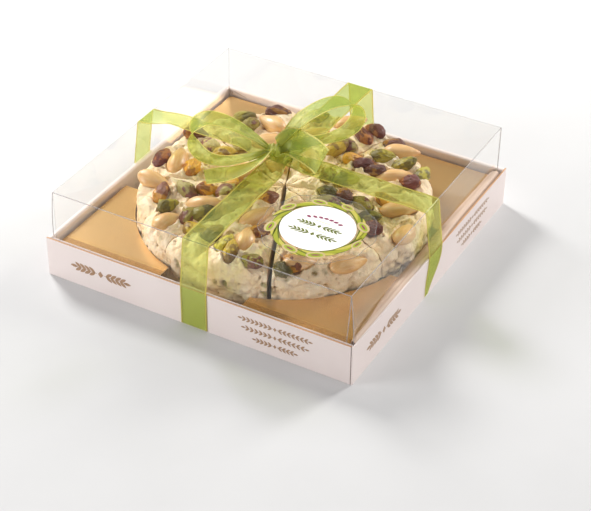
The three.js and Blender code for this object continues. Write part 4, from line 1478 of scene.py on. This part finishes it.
def make_ribbons(taut, material):
    sides, fronts = UNDERSIDE["side_to_side"], UNDERSIDE["front_to_back"]
    make_band("organza_side_to_side", "ribbon_side_to_side", 0, sides, False, taut)
    make_band("organza_front_to_back", "ribbon_front_to_back", RIBBON["lift"], fronts, True, taut)
    make_knot(material)
    for name, loop in LOOPS.items():
        make_loop(name, loop, material)
    for k, (name, (route, turns)) in enumerate(TAILS.items()):
        make_tail(name, route, turns, 1.3 * k, material)


# ---------------------------------------------------------------- the whole

make_camera()
make_studio()

tray_card = card_material("tray_card", "#e6dad6", "#e1d3cf", 0.5)
cut_edge = card_material("cut_board", "#c99f7a", "#bb8c63", 0.6)
# Dark brown board for painted shade: the strip in the front corner's seam and the lines along the creases.
shade_card = card_material("painted_shade_board", "#6b4a38", "#5c3e2e", 0.7)
# The flap's board is a browner copy of the tray card: painted shade, as the flap lies in the wall's shade.
painted_shade_flap_board = card_material("painted_shade_flap_board", "#d6bfae", "#ccb3a0", 0.55)
make_tray(tray_card, painted_shade_flap_board, cut_edge, shade_card)
make_tray_print(print_material("tray_ink", "#a98463"))
gilt = card_material("gilt_card", "#e2b87a", "#ddb070", 0.27, 0.6)
card_core = card_material("card_core", "#d9c7a6", "#c9b48e", 0.6)
for side_y, row in ((-1, "front"), (1, "back")):
    for side_x, column in ((-1, "left"), (1, "right")):
        make_card(f"gilt_{row}_{column}", f"card_{row}_{column}", side_x, side_y, gilt, card_core)

almonds, pistachios = place_nuts()
nougat = nougat_material()
nuts = [(ALMOND, nut) for nut in almonds] + [(PISTACHIO, nut) for nut in pistachios]
for index in range(len(CUTS)):
    make_wedge(index, [(size, nut) for size, nut in nuts if wedge_of(nut) == index], nougat)
make_almonds(almonds, almond_material())
make_pistachios(pistachios, pistachio_material())

crease = veiled_material("film_crease", "#b4aeac", 0.45)
make_lid(film_material(), crease, veiled_material("film_far_crease", "#c4c0be", 0.08),
         veiled_material("film_flange_reflection", "#c2924f", 0.3))
make_label({
    "carrier": veiled_material("sticker_clear", "#f4f4f2", 0.02),
    "edge": veiled_material("sticker_edge", "#9a9a98", 0.45),
    "paper": card_material("sticker_white", "#fbfaf7", "#f7f6f2", 0.4),
    "leaf_dark": print_material("leaf_dark", "#66701a"),
    "leaf_light": print_material("leaf_light", "#a4a82c"),
    "leaf_gold": print_material("leaf_gold", "#c6bc55"),
    "shell": print_material("shell_ink", "#cdb686"),
    "kernel": print_material("kernel_ink", "#9fb12a"),
    "plum_ink": print_material("plum_ink", "#8b2f5a"),
})
# The bow's copy of the organza has paler selvedge threads than the bands': painted light, as the bow's loops
# face the lamps while the bands lie flat.
make_ribbons(organza_material("organza_taut", 0.17, 0.3, 0.36, ("#b3a53e", "#ece394")),
             organza_material("organza_bow", 0.3, 0.1, 0.5, ("#cdc35e", "#f8f0b0")))
